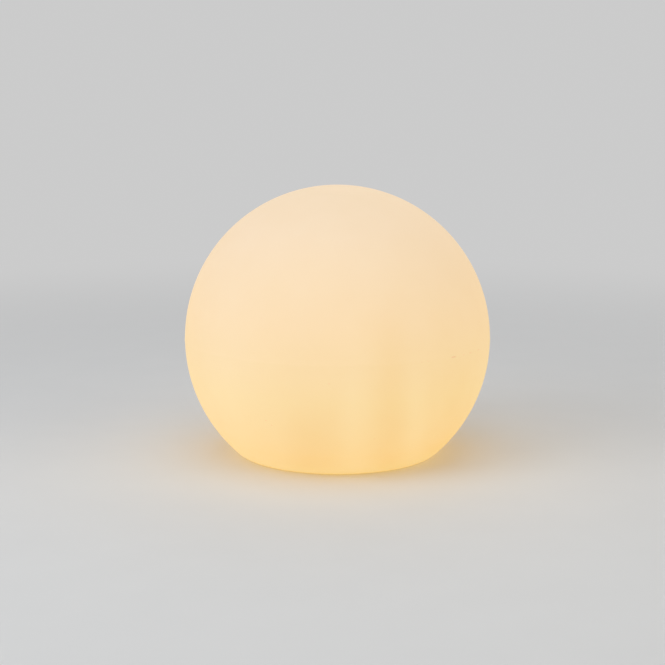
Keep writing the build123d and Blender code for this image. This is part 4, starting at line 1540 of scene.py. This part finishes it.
@dataclass
class PhotoCamera:
    """The camera, at the photo's distance, height and framing.

    Attributes:
        globe_centre: Height of the globe's centre.
        distance: From the globe's centre to the camera.
        elevation: How far the camera stands above the globe's centre, in degrees.
        focal_pixels: Focal length in pixels of the square picture.
        picture: Width of the picture in pixels.
        centre_pixel: Where the globe's centre falls in the picture.
        sensor: Width of the sensor in millimetres.
    """

    globe_centre: float
    distance: float = 3.0
    elevation: float = 10.0
    focal_pixels: float = 1517.0
    picture: float = 665.0
    centre_pixel: Span = (337.4, 337.0)
    sensor: float = 36.0

    def build(self) -> None:
        """Set up the scene's camera."""
        lean = math.radians(self.elevation)
        centre = Vector((0.0, 0.0, self.globe_centre))
        back = Vector((0.0, -math.cos(lean), math.sin(lean)))
        up = Vector((0.0, math.sin(lean), math.cos(lean)))
        pixel = self.distance / self.focal_pixels
        right_shift = (self.picture / 2 - self.centre_pixel[0]) * pixel
        up_shift = (self.centre_pixel[1] - self.picture / 2) * pixel
        aim = centre + Vector((right_shift, 0.0, 0.0)) + up * up_shift
        data = bpy.data.cameras.new("photo_camera")
        data.sensor_width = self.sensor
        data.lens = self.sensor * self.focal_pixels / self.picture
        place = centre + back * self.distance
        bpy.context.scene.camera = aimed("photo_camera", data, place, aim)


@dataclass(frozen=True)
class Softbox:
    """A square area lamp aimed at the globe.

    Attributes:
        name: The lamp's name.
        place: Where it stands.
        side: The length of its side.
        watts: Its power.
        colour: Its colour.
    """

    name: str
    place: Place
    side: float
    watts: float
    colour: Colour

    def build(self, aim: Vector) -> None:
        """Hang the lamp.

        Args:
            aim: What it points at.
        """
        data = bpy.data.lights.new(self.name, "AREA")
        data.size = self.side
        data.energy = self.watts
        data.color = self.colour
        aimed(self.name, data, Vector(self.place), aim)


@dataclass
class Studio:
    """A plain pale floor under soft light.

    Attributes:
        globe_centre: Height that the lamps aim at.
        floor_radius: Radius of the floor.
        floor_hole: Radius of the hole in the floor, which the globe's base covers.
        floor_sides: Steps round the floor.
        floor_colour: Colour of the floor.
        floor_roughness: Its roughness.
        floor_shade: How dark and pale the floor is.
        fade: Distances between which the floor turns into the backdrop.
        sky_colour: Colour of the even light.
        sky_strength: Strength of the even light.
        backdrop: Colour of the backdrop.
        lamps: The softboxes.
    """

    globe_centre: float
    floor_radius: float = 40.0
    floor_hole: float = 0.178
    floor_sides: int = 128
    floor_colour: Colour = (0.8, 0.768, 0.73)
    floor_roughness: float = 0.85
    floor_shade: Mottle = Mottle(9.0, 4.0, 0.985, 1.015)
    fade: Span = (0.6, 3.2)
    sky_colour: Colour = (0.86, 0.92, 1.0)
    sky_strength: float = 0.4
    backdrop: Colour = (0.6, 0.6, 0.6)
    lamps: tuple[Softbox, ...] = (
        Softbox("key_softbox", (-3.0, -1.9, 2.2), 2.6, 42.0, (0.84, 0.91, 1.0)),
        Softbox("top_softbox", (-0.3, -0.9, 3.2), 3.0, 34.0, (0.9, 0.95, 1.0)),
        Softbox("fill_softbox", (2.8, -1.6, 2.0), 2.4, 18.0, (1.0, 0.94, 0.8)),
        Softbox("back_softbox", (0.6, 3.2, 2.6), 2.4, 10.0, (1.0, 1.0, 1.0)),
        Softbox("under_softbox", (0.5, -0.7, -1.3), 1.2, 12.0, (1.0, 1.0, 1.0)),
    )

    def build(self) -> None:
        """Set up the floor, the lamps, the sky and the picture's colour."""
        self.lay_floor()
        aim = Vector((0.0, 0.0, self.globe_centre))
        for lamp in self.lamps:
            lamp.build(aim)
        self.light_sky()
        bpy.context.scene.view_settings.view_transform = "Standard"

    def lay_floor(self) -> None:
        """Lay a round floor with a hole under the globe, so that light reaches its underside."""
        ring = {"vertices": self.floor_sides, "radius": self.floor_hole}
        floor = Bench.start(bpy.ops.mesh.primitive_circle_add, **ring)
        floor.name = "pale_floor"
        wider = self.floor_radius / self.floor_hole
        with Bench.editing(floor):
            bpy.ops.mesh.extrude_region_move()
            bpy.ops.transform.resize(value=(wider, wider, 1.0), center_override=(0.0, 0.0, 0.0))
        if floor.data.polygons[0].normal.z < 0:
            floor.data.flip_normals()
        floor.data.materials.append(self.floor_finish())

    def floor_finish(self) -> bpy.types.Material:
        """Build the floor's finish, which is open to view from below.

        Returns:
            The material.
        """
        sheet = FinishSheet("pale_floor")
        place = sheet.place()
        colour = sheet.dimmed(self.floor_colour, self.floor_shade.spread(place))
        sheet.finish(base_color=colour, roughness=self.floor_roughness)
        x, y, _ = sheet.axes(place)
        away = x.across(y).step(*self.fade)
        plain = sheet.node("ShaderNodeEmission", {}, {"Color": self.backdrop})
        faded = sheet.node("ShaderNodeMixShader", {}, {0: away * sheet.seen(), 1: sheet.shader, 2: plain})
        backfacing = sheet.node("ShaderNodeNewGeometry", {}, {}, "Backfacing")
        clear = sheet.node("ShaderNodeBsdfTransparent", {}, {})
        shown = sheet.node("ShaderNodeMixShader", {}, {0: backfacing, 1: faded, 2: clear})
        sheet.feed(sheet.output.inputs["Surface"], shown)
        return sheet.material

    def light_sky(self) -> None:
        """Light the scene evenly, and show the camera a plain backdrop."""
        world = bpy.data.worlds.new("studio_sky")
        bpy.context.scene.world = world
        world.use_nodes = True
        sheet = NodeSheet(world.node_tree)
        light = {"Color": self.sky_colour, "Strength": self.sky_strength}
        even = sheet.node("ShaderNodeBackground", {}, light)
        shown = sheet.node("ShaderNodeBackground", {}, {"Color": self.backdrop})
        sky = sheet.node("ShaderNodeMixShader", {}, {0: sheet.seen(), 1: even, 2: shown})
        sheet.add("ShaderNodeOutputWorld", {}, {"Surface": sky})


def main() -> None:
    """Build the pieces, dress them and set up the studio."""
    logging.basicConfig(level=logging.INFO, format="%(message)s")
    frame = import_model()
    globe = GlobeShell.from_frame()
    finishes = {globe.slot: MilkyGlow(globe.height, globe.centre), **CARRIED_FINISHES}
    materials = {slot: finish.make(slot) for slot, finish in finishes.items()}
    CarriedSolids(frame).dress(materials)

    for modelled in (globe, TurnArrows(), GripRibs(), PowerSign()):
        piece = modelled.build()
        modelled.dress(piece, materials)

    Studio(globe.centre).build()
    PhotoCamera(globe.centre).build()


if __name__ == "__main__":
    main()
